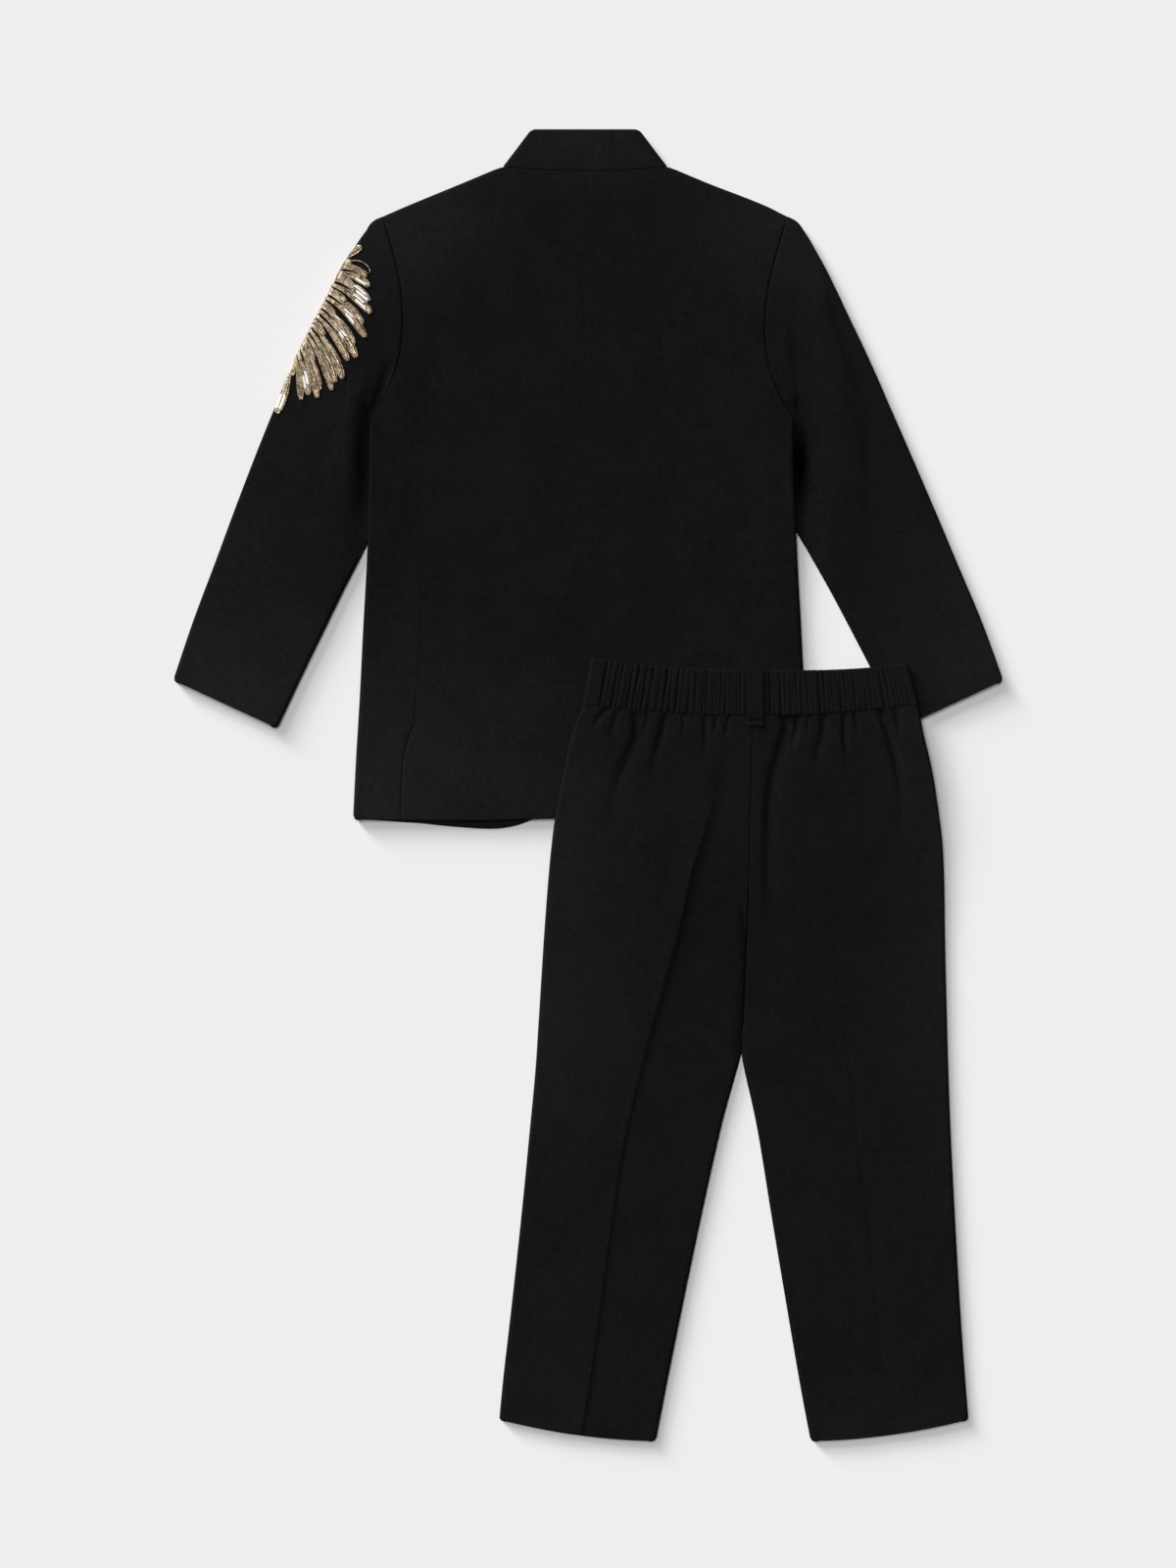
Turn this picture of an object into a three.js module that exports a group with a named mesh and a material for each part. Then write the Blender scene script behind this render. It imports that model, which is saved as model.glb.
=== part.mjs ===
// A boy's jodhpuri suit laid out flat with its back up: a bandhgala jacket, lying face down, and its pull-on
// trousers over the jacket's lower right. Every piece is a wall of cloth, made from its middle surface.
// Millimetres, +Z up, the floor at z = 0. In a garment's own frame a place is given by its distance from the
// centre back (half, or out) and its drop below the garment's top seam, as a garment is measured.
import * as THREE from "three";

// ---------------------------------------------------------------- driving dimensions
const GAP = 0.3; // between pieces at a seam, and where one lies on another
const FOLD_REACH = 3; // how far in from a folded edge the cloth starts to turn down

const JACKET = {
  x: -2.4, // where its nape lies
  y: 501.6,
  wall: 1.8, // shell, interfacing and lining
  loft: 3.6, // air between the back and the fronts
  backLength: 527.5,
  neckHalf: 67,
  neckRise: 2.4,
};
const COLLAR = { wall: 2.2, height: 33, topHalf: 44, corner: 1.5, frontLength: 95, sink: 0.48 };
const CORNER_FROM = 0.8; // the share of the collar's half width where its corners begin to round
const LAP = 12; // how far each front passes the centre
const BUTTON = { radius: 7, thickness: 1.8, rim: 0.5, sides: 16, count: 5, firstDrop: 74, pitch: 78 };

const TROUSERS = {
  x: 134.4, // where the middle of the waistband's top edge lies
  y: 94.4,
  wall: 1.2,
  loft: 2.4, // air between the back and the fronts
  hemBelly: 3.6, // how far the middle of a leg's hem hangs below the line of its corners
};
const BAND = { wall: 2.2, width: 262, ribs: 31, rib: 0.45, plainEnd: 13 };
const LOOP = { out: 1.6, width: 13.2, wall: 1.5, top: 0, bend: 38.6, flat: 42, bottom: 46 };

// How far things rise, sink or shift, and from where to where each change is spread.
const CROWN = { rise: 1.2, half: [30, 80], end: [440, 500] }; // of the back over the buttoned fronts
const TUCKED = { half: [142, 157], drop: [203, 216], end: [312, 345] }; // the body's edge on a tucked sleeve
const PRESSED = { drop: [186, 206], end: [300, 330], clear: 3, slope: 0.4 }; // the sleeve under that edge
const BUTTONED = { half: [21, 42], drop: [45, 58], past: [20, 65] }; // the fronts on the buttons
const LEAN = { shift: -2.4, drop: [60, 200] }; // the jacket lies a little to the left below the armholes
const SWING = { shift: 5, drop: [150, 440] }; // and its sleeves swing back to the right
const GATHERS = { pitch: 27, depth: 1.1, drop: [34, 96] };
const REST = { above: 0.5, beyond: [2, 170] }; // how the trousers come down past the jacket's edges

// ---------------------------------------------------------------- the jacket's cut
// These are the places of the middle of the cloth. The armhole seam, from the shoulder point to the underarm.
const ARMHOLE = [
  { half: 164.6, drop: 38.5 },
  { half: 156.5, drop: 67 },
  { half: 151, drop: 90 },
  { half: 148.2, drop: 114 },
  { half: 149.2, drop: 139 },
  { half: 154.8, drop: 163 },
  { half: 164, drop: 185 },
  { half: 172.4, drop: 204 },
];
const SIDE_SEAM_AT = 5 / 7; // where on the armhole the side panel begins
// The body's folded edge, from the underarm to the hem.
const BODY_EDGE = [
  { half: 172.4, drop: 204 },
  { half: 173.5, drop: 257 },
  { half: 175.2, drop: 310 },
  { half: 178.6, drop: 370 },
  { half: 181.6, drop: 430 },
  { half: 184.6, drop: 480 },
  { half: 187, drop: 529 },
];
// The seam between the back and the side panel, down to the vent, and the back's own edge along the vent.
const SIDE_SEAM = [
  { half: 154.8, drop: 163 },
  { half: 141, drop: 215 },
  { half: 134, drop: 270 },
  { half: 131.6, drop: 325 },
  { half: 132.4, drop: 380 },
  { half: 136.6, drop: 452 },
];
const VENT_EDGE = [
  { half: 136.6, drop: 452 },
  { half: 141.5, drop: 466 },
  { half: 145.6, drop: 482 },
  { half: 146.8, drop: 504 },
  { half: 147.4, drop: 530 },
];
const VENT_AT = 0.8; // the share of the side seam, from the armhole to the hem, where the vent begins
const VENT = { underlap: 15, share: [0.04, 0.45], sink: 2.4, drop: [438, 450], level: [9, 24] };
const BACK_FOOT = { half: 74, drop: 530 }; // halfway along the back's hem
// The seam between the side panel and the front, on the underside.
const FRONT_SEAM = [
  { half: 154.8, drop: 163 },
  { half: 138, drop: 215 },
  { half: 128, drop: 290 },
  { half: 126, drop: 380 },
  { half: 128, drop: 460 },
  { half: 131, drop: 532.5 },
];
// The front's hem, from the round corner at the centre front to the side panel.
const FRONT_HEM = [
  { half: -LAP, drop: 470 },
  { half: -3, drop: 492 },
  { half: 16, drop: 512 },
  { half: 41, drop: 529.5 },
  { half: 67, drop: 536.6 },
  { half: 100, drop: 535.6 },
  { half: 131, drop: 532.5 },
];
// The front's neck seam, from the side of the neck to its edge past the centre front.
const FRONT_NECK = [
  { half: 67, drop: -2.4 },
  { half: 60, drop: 16 },
  { half: 44, drop: 34 },
  { half: 22, drop: 47 },
  { half: 1.5, drop: 50.8 },
  { half: -LAP, drop: 52.5 },
];
// The collar's top edge on the underside, from the side to the centre front.
const COLLAR_FRONT_TOP = [
  { half: 44, drop: -31.5 },
  { half: 33, drop: -12 },
  { half: 21, drop: 3 },
  { half: 11, drop: 13 },
  { half: 4, drop: 17 },
];
// The flat sleeve's two folded edges, a row for each section. The inner edge tucks under the body's.
const SLEEVE = [
  { outer: 165, outerDrop: 38.5, inner: 175.4, innerDrop: 204 },
  { outer: 177.6, outerDrop: 49.5, inner: 177.8, innerDrop: 214 },
  { outer: 193.8, outerDrop: 74, inner: 177.4, innerDrop: 226 },
  { outer: 208.8, outerDrop: 103, inner: 168, innerDrop: 243 },
  { outer: 227.6, outerDrop: 142, inner: 164, innerDrop: 264 },
  { outer: 246, outerDrop: 184, inner: 169, innerDrop: 286 },
  { outer: 263.8, outerDrop: 226, inner: 181, innerDrop: 308.5 },
  { outer: 283.4, outerDrop: 274, inner: 198.3, innerDrop: 340.5 },
  { outer: 301.6, outerDrop: 320, inner: 214.9, innerDrop: 373 },
  { outer: 320.7, outerDrop: 368, inner: 234.9, innerDrop: 413 },
  { outer: 337.6, outerDrop: 416, inner: 254.5, innerDrop: 454.5 },
];
const SIDES = [
  { name: "left", sign: -1 },
  { name: "right", sign: 1 },
];

// ---------------------------------------------------------------- the trousers' cut
// A leg's outline, a row for each section from the waist seam to the hem. Down to CROTCH_ROW its inner edge
// is the centre back seam, and past it the inside leg.
const CROTCH_ROW = 8;
const LEFT_LEG = [
  { outer: -138.2, outerDrop: 29.5, inner: 0, innerDrop: 37.8 },
  { outer: -147, outerDrop: 52, inner: -0.8, innerDrop: 60 },
  { outer: -154, outerDrop: 82, inner: -1.6, innerDrop: 88 },
  { outer: -160, outerDrop: 112, inner: -2.2, innerDrop: 116 },
  { outer: -164, outerDrop: 141, inner: -2.7, innerDrop: 142 },
  { outer: -167, outerDrop: 172, inner: -3.7, innerDrop: 174 },
  { outer: -170.6, outerDrop: 220, inner: -5, innerDrop: 220 },
  { outer: -174.8, outerDrop: 286, inner: -7.6, innerDrop: 280 },
  { outer: -177.6, outerDrop: 328, inner: -8.8, innerDrop: 314 },
  { outer: -182.6, outerDrop: 381, inner: -26, innerDrop: 374 },
  { outer: -189.2, outerDrop: 448, inner: -42.5, innerDrop: 448 },
  { outer: -196.8, outerDrop: 518, inner: -57.5, innerDrop: 520 },
  { outer: -203.4, outerDrop: 575, inner: -70, innerDrop: 582 },
  { outer: -207, outerDrop: 612, inner: -79, innerDrop: 628.8 },
];
const RIGHT_LEG = [
  { outer: 134.2, outerDrop: 29.5, inner: 0, innerDrop: 37.8 },
  { outer: 138.8, outerDrop: 52, inner: -0.8, innerDrop: 60 },
  { outer: 145.8, outerDrop: 82, inner: -1.6, innerDrop: 88 },
  { outer: 150.7, outerDrop: 112, inner: -2.2, innerDrop: 116 },
  { outer: 154.4, outerDrop: 141, inner: -2.7, innerDrop: 142 },
  { outer: 156, outerDrop: 172, inner: -3.7, innerDrop: 174 },
  { outer: 156.8, outerDrop: 220, inner: -5, innerDrop: 220 },
  { outer: 158.4, outerDrop: 286, inner: -7.6, innerDrop: 280 },
  { outer: 159.6, outerDrop: 328, inner: -8.8, innerDrop: 314 },
  { outer: 161.6, outerDrop: 381, inner: 3.4, innerDrop: 374 },
  { outer: 165, outerDrop: 448, inner: 15.5, innerDrop: 448 },
  { outer: 169, outerDrop: 518, inner: 27.6, innerDrop: 520 },
  { outer: 173, outerDrop: 575, inner: 38.2, innerDrop: 582 },
  { outer: 176, outerDrop: 612, inner: 47, innerDrop: 628.8 },
];
// The waistband's top edge and the waist seam under it.
const BAND_TOP = [
  { out: -130.9, drop: -9 },
  { out: -86, drop: -3.4 },
  { out: -42, drop: -1 },
  { out: 0, drop: 0 },
  { out: 42, drop: 0.6 },
  { out: 86, drop: -1 },
  { out: 124.6, drop: -4.8 },
];
const WAIST_SEAM = [
  { out: -137.6, drop: 29.2 },
  { out: -92, drop: 33.4 },
  { out: -44, drop: 36.6 },
  { out: 0, drop: 37.8 },
  { out: 44, drop: 37 },
  { out: 90, drop: 33.4 },
  { out: 133.6, drop: 29.2 },
];

// ---------------------------------------------------------------- where the sections go, as shares
const NECK_SHARE = 0.42; // the share of a back's or front's top edge that lies on the neck seam
const BACK_SHARES = [0, 0.14, 0.28, NECK_SHARE, 0.5, 0.66, 0.83, 1];
const FRONT_SHARES = [0.52, 0.67, 0.84, 1]; // past the neck
const SIDE_ROWS = [0, 0.08, 0.16, 0.25, 0.34, 0.42, 0.5, 0.65, 0.77, VENT_AT, 0.86, 0.93, 1];
const SIDE_SHARES = [0, 0.35, 0.7];
const SLEEVE_ROWS = [0, 0.03, 0.08, 0.14, 0.21, 0.3, 0.4, 0.52, 0.68, 0.85, 1];
const COLLAR_ROWS = [0, 0.35, 0.7, 1];
const COLLAR_SHARES = [0.1, 0.23, 0.36, 0.5, 0.64, 0.77, 0.9];
const LEG_BACK_SHARES = [0.11, 0.22, 0.33, 0.44, 0.56, 0.67, 0.78, 0.89];
const LEG_FRONT_SHARES = [0.2, 0.4, 0.6, 0.8];
const BAND_UNDER_SHARES = [0.2, 0.4, 0.6, 0.75, 0.88];
const OUTLINE_STEPS = 12;
// About how wide the folded pieces are, which places the columns on their folds.
const SLEEVE_TOP_WIDTH = 190;
const UNDERARM_RUN = 150; // the armhole's length at the pace it has near the underarm
const LEG_WIDTH = 130;

// ---------------------------------------------------------------- small tools
const { clamp, lerp, smoothstep } = THREE.MathUtils;
const ramp = (value, [from, to]) => smoothstep(value, from, to);
const range = (count) => Array.from({ length: count + 1 }, (_, i) => i / count);
const at = (x, drop) => new THREE.Vector2(x, -drop);
const columns = (table, out, drop, sign = 1) => table.map((row) => at(sign * row[out], row[drop]));

// A curve through points, evenly split between them, as a function of 0 to 1.
function through(points) {
  const curve = new THREE.SplineCurve(points);
  return (t) => curve.getPoint(clamp(t, 0, 1));
}
const line = (a, b) => (t) => a.clone().lerp(b, t);
// Straight stretches from point to point, each an even share of 0 to 1.
const chords = (points) => (t) => {
  const i = Math.min(Math.floor(t * (points.length - 1)), points.length - 2);
  return points[i].clone().lerp(points[i + 1], t * (points.length - 1) - i);
};
const stretch = (curve, from, to) => (t) => curve(lerp(from, to, t));
// Two curves one after the other, the first one up to the share given.
const chain = (first, until, second) => (t) => {
  return t < until ? first(t / until) : second((t - until) / (1 - until));
};

// The plan of a panel between its four edges: top and bottom run across it, near and far run down it.
function panelPlan({ top, bottom, near, far }) {
  const corners = [top(0), top(1), bottom(0), bottom(1)];
  return (u, v) =>
    new THREE.Vector2()
      .addScaledVector(top(u), 1 - v)
      .addScaledVector(bottom(u), v)
      .addScaledVector(near(v), 1 - u)
      .addScaledVector(far(v), u)
      .addScaledVector(corners[0], -(1 - u) * (1 - v))
      .addScaledVector(corners[1], -u * (1 - v))
      .addScaledVector(corners[2], -(1 - u) * v)
      .addScaledVector(corners[3], -u * v);
}

// How far a point lies outside a closed outline, and 0 inside it.
function distanceOutside(outline, p) {
  let least = Infinity;
  let within = false;
  outline.forEach((a, i) => {
    const b = outline[(i + 1) % outline.length];
    const along = b.clone().sub(a);
    const share = clamp(p.clone().sub(a).dot(along) / along.lengthSq(), 0, 1);
    least = Math.min(least, a.clone().addScaledVector(along, share).distanceTo(p));
    if (a.y > p.y !== b.y > p.y && p.x < a.x + ((p.y - a.y) * along.x) / along.y) within = !within;
  });
  return within ? 0 : least;
}

// The share of its full height that cloth has at a distance from a folded edge: a quarter of an ellipse.
const turn = (distance) => {
  const share = 1 - clamp(distance / FOLD_REACH, 0, 1);
  return Math.sqrt(1 - share * share);
};
// Shares of a width near a folded edge: on it, part of the way round, and where the cloth is flat.
const foldShares = (width) => [0, 0.3, 1].map((way) => way * (FOLD_REACH / width));

// ---------------------------------------------------------------- walls of cloth
// A closed wall round a grid of points on the middle of the cloth, rows down it and columns across it. Where
// closed is true its last column meets its first. An open edge is cut upright, or level where the cloth ends
// in a turn.
function wall(grid, thickness, closed = false) {
  const rows = grid.length;
  const cols = grid[0].length;
  const wrap = (j) => (closed ? (j + cols) % cols : clamp(j, 0, cols - 1));
  const normals = grid.map((row, i) =>
    row.map((p, j) => {
      const down = grid[Math.min(i + 1, rows - 1)][j].clone().sub(grid[Math.max(i - 1, 0)][j]);
      const across = row[wrap(j + 1)].clone().sub(row[wrap(j - 1)]);
      const normal = across.clone().cross(down).normalize();
      if (!closed && (j === 0 || j === cols - 1)) trueEdge(normal, down);
      if (i === 0 || i === rows - 1) trueEdge(normal, across);
      return normal;
    }),
  );
  const positions = [];
  for (const side of [0.5, -0.5])
    grid.forEach((row, i) =>
      row.forEach((p, j) => positions.push(...p.clone().addScaledVector(normals[i][j], side * thickness))),
    );
  const index = [];
  const layer = rows * cols;
  const quad = (a, b, c, d) => index.push(a, b, c, a, c, d);
  const spans = closed ? cols : cols - 1;
  for (let i = 0; i + 1 < rows; i++)
    for (let j = 0; j < spans; j++) {
      const [a, b] = [i * cols + j, i * cols + wrap(j + 1)];
      quad(a, a + cols, b + cols, b);
      quad(layer + a, layer + b, layer + b + cols, layer + a + cols);
    }
  const rim = (a, b) => quad(a, b, layer + b, layer + a);
  for (let j = 0; j < spans; j++) {
    rim(j, wrap(j + 1));
    rim((rows - 1) * cols + wrap(j + 1), (rows - 1) * cols + j);
  }
  if (!closed)
    for (let i = 0; i + 1 < rows; i++) {
      rim((i + 1) * cols, i * cols);
      rim(i * cols + cols - 1, (i + 1) * cols + cols - 1);
    }
  return facingOut(positions, index);
}

// Makes a wall's direction at an open edge square to the floor, or level where the cloth has turned down.
const TURNED_DOWN = 0.6; // the cosine past which it has
function trueEdge(normal, edge) {
  const outward = new THREE.Vector3(-edge.y, edge.x, 0).normalize();
  const lean = normal.dot(outward);
  if (Math.abs(lean) > TURNED_DOWN) normal.copy(outward).multiplyScalar(Math.sign(lean));
  else normal.addScaledVector(outward, -lean).normalize();
}

function facingOut(positions, index) {
  let volume = 0;
  const corner = (k) => new THREE.Vector3().fromArray(positions, 3 * index[k]);
  for (let k = 0; k < index.length; k += 3) volume += corner(k).dot(corner(k + 1).cross(corner(k + 2)));
  if (volume < 0) {
    for (let k = 0; k < index.length; k += 3) [index[k], index[k + 1]] = [index[k + 1], index[k]];
  }
  const geometry = new THREE.BufferGeometry();
  geometry.setAttribute("position", new THREE.Float32BufferAttribute(positions, 3));
  geometry.setIndex(index);
  geometry.computeVertexNormals();
  return geometry;
}

const blackCloth = new THREE.MeshStandardMaterial({ color: 0x17181a, roughness: 0.9, metalness: 0 });
const horn = new THREE.MeshStandardMaterial({ color: 0x101010, roughness: 0.35, metalness: 0 });

function piece(name, geometry, material = blackCloth) {
  const mesh = new THREE.Mesh(geometry, material);
  mesh.name = name;
  return mesh;
}

// ---------------------------------------------------------------- the jacket's layers
const UNDER = JACKET.wall / 2; // the middle of the cloth that lies on the floor
const OVER = UNDER + JACKET.wall + JACKET.loft; // the middle of the cloth on top
const TUCK = 2 * (JACKET.wall + GAP); // what a flat sleeve lifts the body by

const leanAt = (drop) => LEAN.shift * ramp(drop, LEAN.drop);
const leaned = (p) => new THREE.Vector2(p.x + leanAt(-p.y), p.y);
const fromCentre = (p) => Math.abs(p.x - leanAt(-p.y));

// How far the body is lifted where a sleeve is tucked under its edge, as a share of the whole lift.
const tuckShare = (p) => {
  return ramp(fromCentre(p), TUCKED.half) * ramp(-p.y, TUCKED.drop) * (1 - ramp(-p.y, TUCKED.end));
};
const crownAt = (p) => CROWN.rise * (1 - ramp(fromCentre(p), CROWN.half)) * (1 - ramp(-p.y, CROWN.end));
const bodyOver = (p) => OVER + crownAt(p) + (TUCK - JACKET.loft + GAP) * tuckShare(p);
const bodyUnder = (p) => UNDER + TUCK * tuckShare(p);

// Shares along the armhole that all pieces on it use, so that their edges match.
const ARMHOLE_SHARES = [
  ...foldShares(SLEEVE_TOP_WIDTH),
  ...[1, 2, 3, 4].map((row) => row / (ARMHOLE.length - 1)),
  ...SIDE_SHARES.map((u) => lerp(SIDE_SEAM_AT, 1, u)),
  ...foldShares(UNDERARM_RUN).map((t) => 1 - t).reverse(),
];

const TANGENT_STEP = 0.01;
const armhole = (side, inset) => {
  const seam = through(columns(ARMHOLE, "half", "drop", side.sign));
  return (t) => {
    const tangent = seam(t + TANGENT_STEP).sub(seam(t - TANGENT_STEP));
    const outward = new THREE.Vector2(-tangent.y, tangent.x).normalize();
    if (outward.x * side.sign < 0) outward.negate();
    return leaned(seam(t).addScaledVector(outward, inset));
  };
};
const seamEdge = (table, side, inset) => {
  const seam = through(columns(table, "half", "drop", side.sign));
  return (t) => leaned(seam(t).add(new THREE.Vector2(side.sign * inset, 0)));
};
// The rows on the fold crowd towards the underarm, so that each lies level with its place on the seams.
const CROWDING = 1.6;
const bodyFold = (side) => {
  const fold = seamEdge(BODY_EDGE, side, -(JACKET.wall + GAP) / 2);
  return (t) => fold(t ** CROWDING);
};
// At the underarm the edges along the seam run out to the two folds.
const UNDERARM = [0.9, 1];
const toFold = (p, t, fold) => p.lerp(fold(0), ramp(t, UNDERARM));

// Rows of a back or front: those on the armhole, then those on the side seam.
const SIDE_SHARE = SIDE_SEAM[0].drop / JACKET.backLength; // how far down the panel its side seam begins
const BACK_ARMHOLE = ARMHOLE_SHARES.slice(0, ARMHOLE_SHARES.indexOf(SIDE_SEAM_AT));
const PANEL_ROWS = [
  ...BACK_ARMHOLE.map((t) => SIDE_SHARE * (t / SIDE_SEAM_AT)),
  ...SIDE_ROWS.map((t) => lerp(SIDE_SHARE, 1, t)),
];
// A back or front is folded to meet its neighbour along the shoulder, and runs level to the neck seam.
const SHOULDER = [NECK_SHARE - 0.01, NECK_SHARE + 0.08];
function shoulderHeight(u, v, full, rest) {
  const shoulder = ramp(u, SHOULDER);
  return lerp(full, rest + (full - rest) * turn(v * JACKET.backLength), shoulder);
}

function backPanel(side) {
  const s = side.sign;
  const onNeck = (share) => at(s * share * JACKET.neckHalf, GAP / 2 - JACKET.neckRise * share * share);
  const neckline = through([onNeck(0).setX((s * GAP) / 2), onNeck(0.5), onNeck(1)]);
  const seam = chain(seamEdge(SIDE_SEAM, side, -GAP / 2), VENT_AT, seamEdge(VENT_EDGE, side, -GAP / 2));
  const arm = armhole(side, -GAP / 2);
  const centreAt = (drop) => leaned(at((s * GAP) / 2, drop));
  const plan = panelPlan({
    top: chain(neckline, NECK_SHARE, line(neckline(1), arm(0))),
    bottom: through([centreAt(JACKET.backLength), leaned(at(s * BACK_FOOT.half, BACK_FOOT.drop)), seam(1)]),
    near: (t) => centreAt(lerp(GAP / 2, JACKET.backLength, t)),
    far: chain(stretch(arm, 0, SIDE_SEAM_AT), SIDE_SHARE, seam),
  });
  const grid = PANEL_ROWS.map((v) =>
    BACK_SHARES.map((u) => {
      const p = plan(u, v);
      return new THREE.Vector3(p.x, p.y, shoulderHeight(u, v, bodyOver(p), (OVER + UNDER + GAP) / 2));
    }),
  );
  return piece(`jacket_back_${side.name}`, wall(grid, JACKET.wall));
}

// The side panel runs from the back's seam round the folded edge to the front's seam.
function sidePanel(side) {
  const fold = bodyFold(side);
  const arm = armhole(side, -GAP / 2);
  const armholePart = (u) => {
    const t = lerp(SIDE_SEAM_AT, 1, u);
    return toFold(arm(t), t, fold);
  };
  // Past the vent's top the panel runs on under the back's edge.
  const underlap = (t) => seamEdge(VENT_EDGE, side, GAP / 2 - VENT.underlap * ramp(t, VENT.share))(t);
  const half = (seam) => {
    return panelPlan({ top: armholePart, bottom: line(seam(1), fold(1)), near: seam, far: fold });
  };
  const overPlan = half(chain(seamEdge(SIDE_SEAM, side, GAP / 2), VENT_AT, underlap));
  const underPlan = half(seamEdge(FRONT_SEAM, side, GAP / 2));
  const ventEdge = through(columns(VENT_EDGE, "half", "drop"));
  const sunk = (p, v) => {
    const edge = ventEdge((v - VENT_AT) / (1 - VENT_AT)).x;
    return VENT.sink * ramp(-p.y, VENT.drop) * (1 - ramp(fromCentre(p) - edge, VENT.level));
  };
  const grid = SIDE_ROWS.map((v) => {
    const width = v === 0 ? UNDERARM_RUN * (1 - SIDE_SEAM_AT) : overPlan(0, v).distanceTo(overPlan(1, v));
    const turned = foldShares(width).map((share) => 1 - share);
    const middle = (bodyOver(overPlan(1, v)) + bodyUnder(overPlan(1, v))) / 2;
    const place = (p, u, full) => {
      return new THREE.Vector3(p.x, p.y, lerp(middle, full, turn((1 - u) * width)));
    };
    const over = [...SIDE_SHARES, ...turned.slice().reverse()].map((u) => {
      const p = overPlan(u, v);
      return place(p, u, bodyOver(p) - sunk(p, v));
    });
    const under = [...turned.slice(1), ...SIDE_SHARES.slice().reverse()].map((u) => {
      const p = underPlan(u, v);
      return place(p, u, bodyUnder(p));
    });
    return [...over, ...under];
  });
  return piece(`jacket_side_${side.name}`, wall(grid, JACKET.wall));
}

// The rise of the fronts over the buttons, and of the right front over the left.
const lastButton = BUTTON.firstDrop + (BUTTON.count - 1) * BUTTON.pitch;
const buttonRise = (p) => {
  const down = ramp(-p.y, BUTTONED.drop) * (1 - ramp(-p.y - lastButton, BUTTONED.past));
  return (BUTTON.thickness + GAP) * (1 - ramp(fromCentre(p), BUTTONED.half)) * down;
};
const lapRise = (p) => (JACKET.wall + 2 * GAP) * (1 - ramp(p.x - leanAt(-p.y), BUTTONED.half));

function frontPanel(side) {
  const s = side.sign;
  const seam = seamEdge(FRONT_SEAM, side, -GAP / 2);
  const seamGap = new THREE.Vector2(s * GAP, -GAP);
  const neck = chords(columns(FRONT_NECK, "half", "drop", s).reverse().map((p) => p.add(seamGap)));
  const hem = through(columns(FRONT_HEM, "half", "drop", s));
  const arm = armhole(side, -GAP / 2);
  const plan = panelPlan({
    top: chain(neck, NECK_SHARE, line(neck(1), arm(0))),
    bottom: (t) => leaned(hem(t)).add(new THREE.Vector2((-s * t * GAP) / 2, 0)),
    near: (t) => leaned(neck(0).lerp(hem(0), t)),
    far: chain(stretch(arm, 0, SIDE_SEAM_AT), SIDE_SHARE, seam),
  });
  const across = [...range(FRONT_NECK.length - 1).map((t) => t * NECK_SHARE), ...FRONT_SHARES];
  const grid = PANEL_ROWS.map((v) =>
    across.map((u) => {
      const p = plan(u, v);
      const full = bodyUnder(p) + buttonRise(p) + (s > 0 ? lapRise(p) : 0);
      return new THREE.Vector3(p.x, p.y, shoulderHeight(u, v, full, (OVER + UNDER - GAP) / 2));
    }),
  );
  return piece(`jacket_front_${side.name}`, wall(grid, JACKET.wall));
}

// A sleeve is one flat tube, open at the armhole and the cuff.
const sleeveEdge = (side, out, drop) => {
  const edge = through(columns(SLEEVE, out, drop, side.sign));
  return (t) => {
    const p = leaned(edge(t));
    return p.setX(p.x + SWING.shift * ramp(-p.y, SWING.drop));
  };
};
const SLEEVE_TIP = 0.04; // the share of the top edge that runs out to the outer fold
const BOW_FADE = 4; // how quickly the rows straighten from the armhole's curve to lines across the sleeve
function sleeve(side) {
  const outer = sleeveEdge(side, "outer", "outerDrop");
  const inner = sleeveEdge(side, "inner", "innerDrop");
  const seam = armhole(side, GAP / 2);
  const top = (t) => toFold(seam(t).lerp(outer(0), 1 - smoothstep(t, 0, SLEEVE_TIP)), t, inner);
  const plan = (u, v) => {
    const bow = top(u).sub(top(0).lerp(top(1), u));
    return outer(v).lerp(inner(v), u).addScaledVector(bow, (1 - v) ** BOW_FADE);
  };
  const low = UNDER + JACKET.wall + GAP; // the upper layer where it is pressed on the lower one
  const edge = through(columns(BODY_EDGE, "half", "drop"));
  const edgeDrops = [BODY_EDGE[0].drop, BODY_EDGE.at(-1).drop];
  const edgeAt = (drop) => edge(THREE.MathUtils.inverseLerp(...edgeDrops, drop)).x;
  const overHeight = (p) => {
    const beyond = Math.max(0, fromCentre(p) - edgeAt(-p.y) - PRESSED.clear);
    const pressed = ramp(-p.y, PRESSED.drop) * (1 - ramp(-p.y, PRESSED.end));
    return Math.min(OVER, lerp(OVER, low + PRESSED.slope * beyond, pressed));
  };
  const grid = SLEEVE_ROWS.map((v) => {
    const place = (u, isOver) => {
      const p = plan(u, v);
      const full = isOver ? overHeight(p) : UNDER;
      const middle = (overHeight(plan(Math.round(u), v)) + UNDER) / 2;
      const turned = turn(Math.min(u * SLEEVE_TOP_WIDTH, (1 - u) * UNDERARM_RUN));
      return new THREE.Vector3(p.x, p.y, middle + (full - middle) * turned);
    };
    const over = ARMHOLE_SHARES.map((u) => place(u, true));
    const under = ARMHOLE_SHARES.slice(1, -1).reverse().map((u) => place(u, false));
    return [...over, ...under];
  });
  return piece(`jacket_sleeve_${side.name}`, wall(grid, JACKET.wall, true));
}

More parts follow.
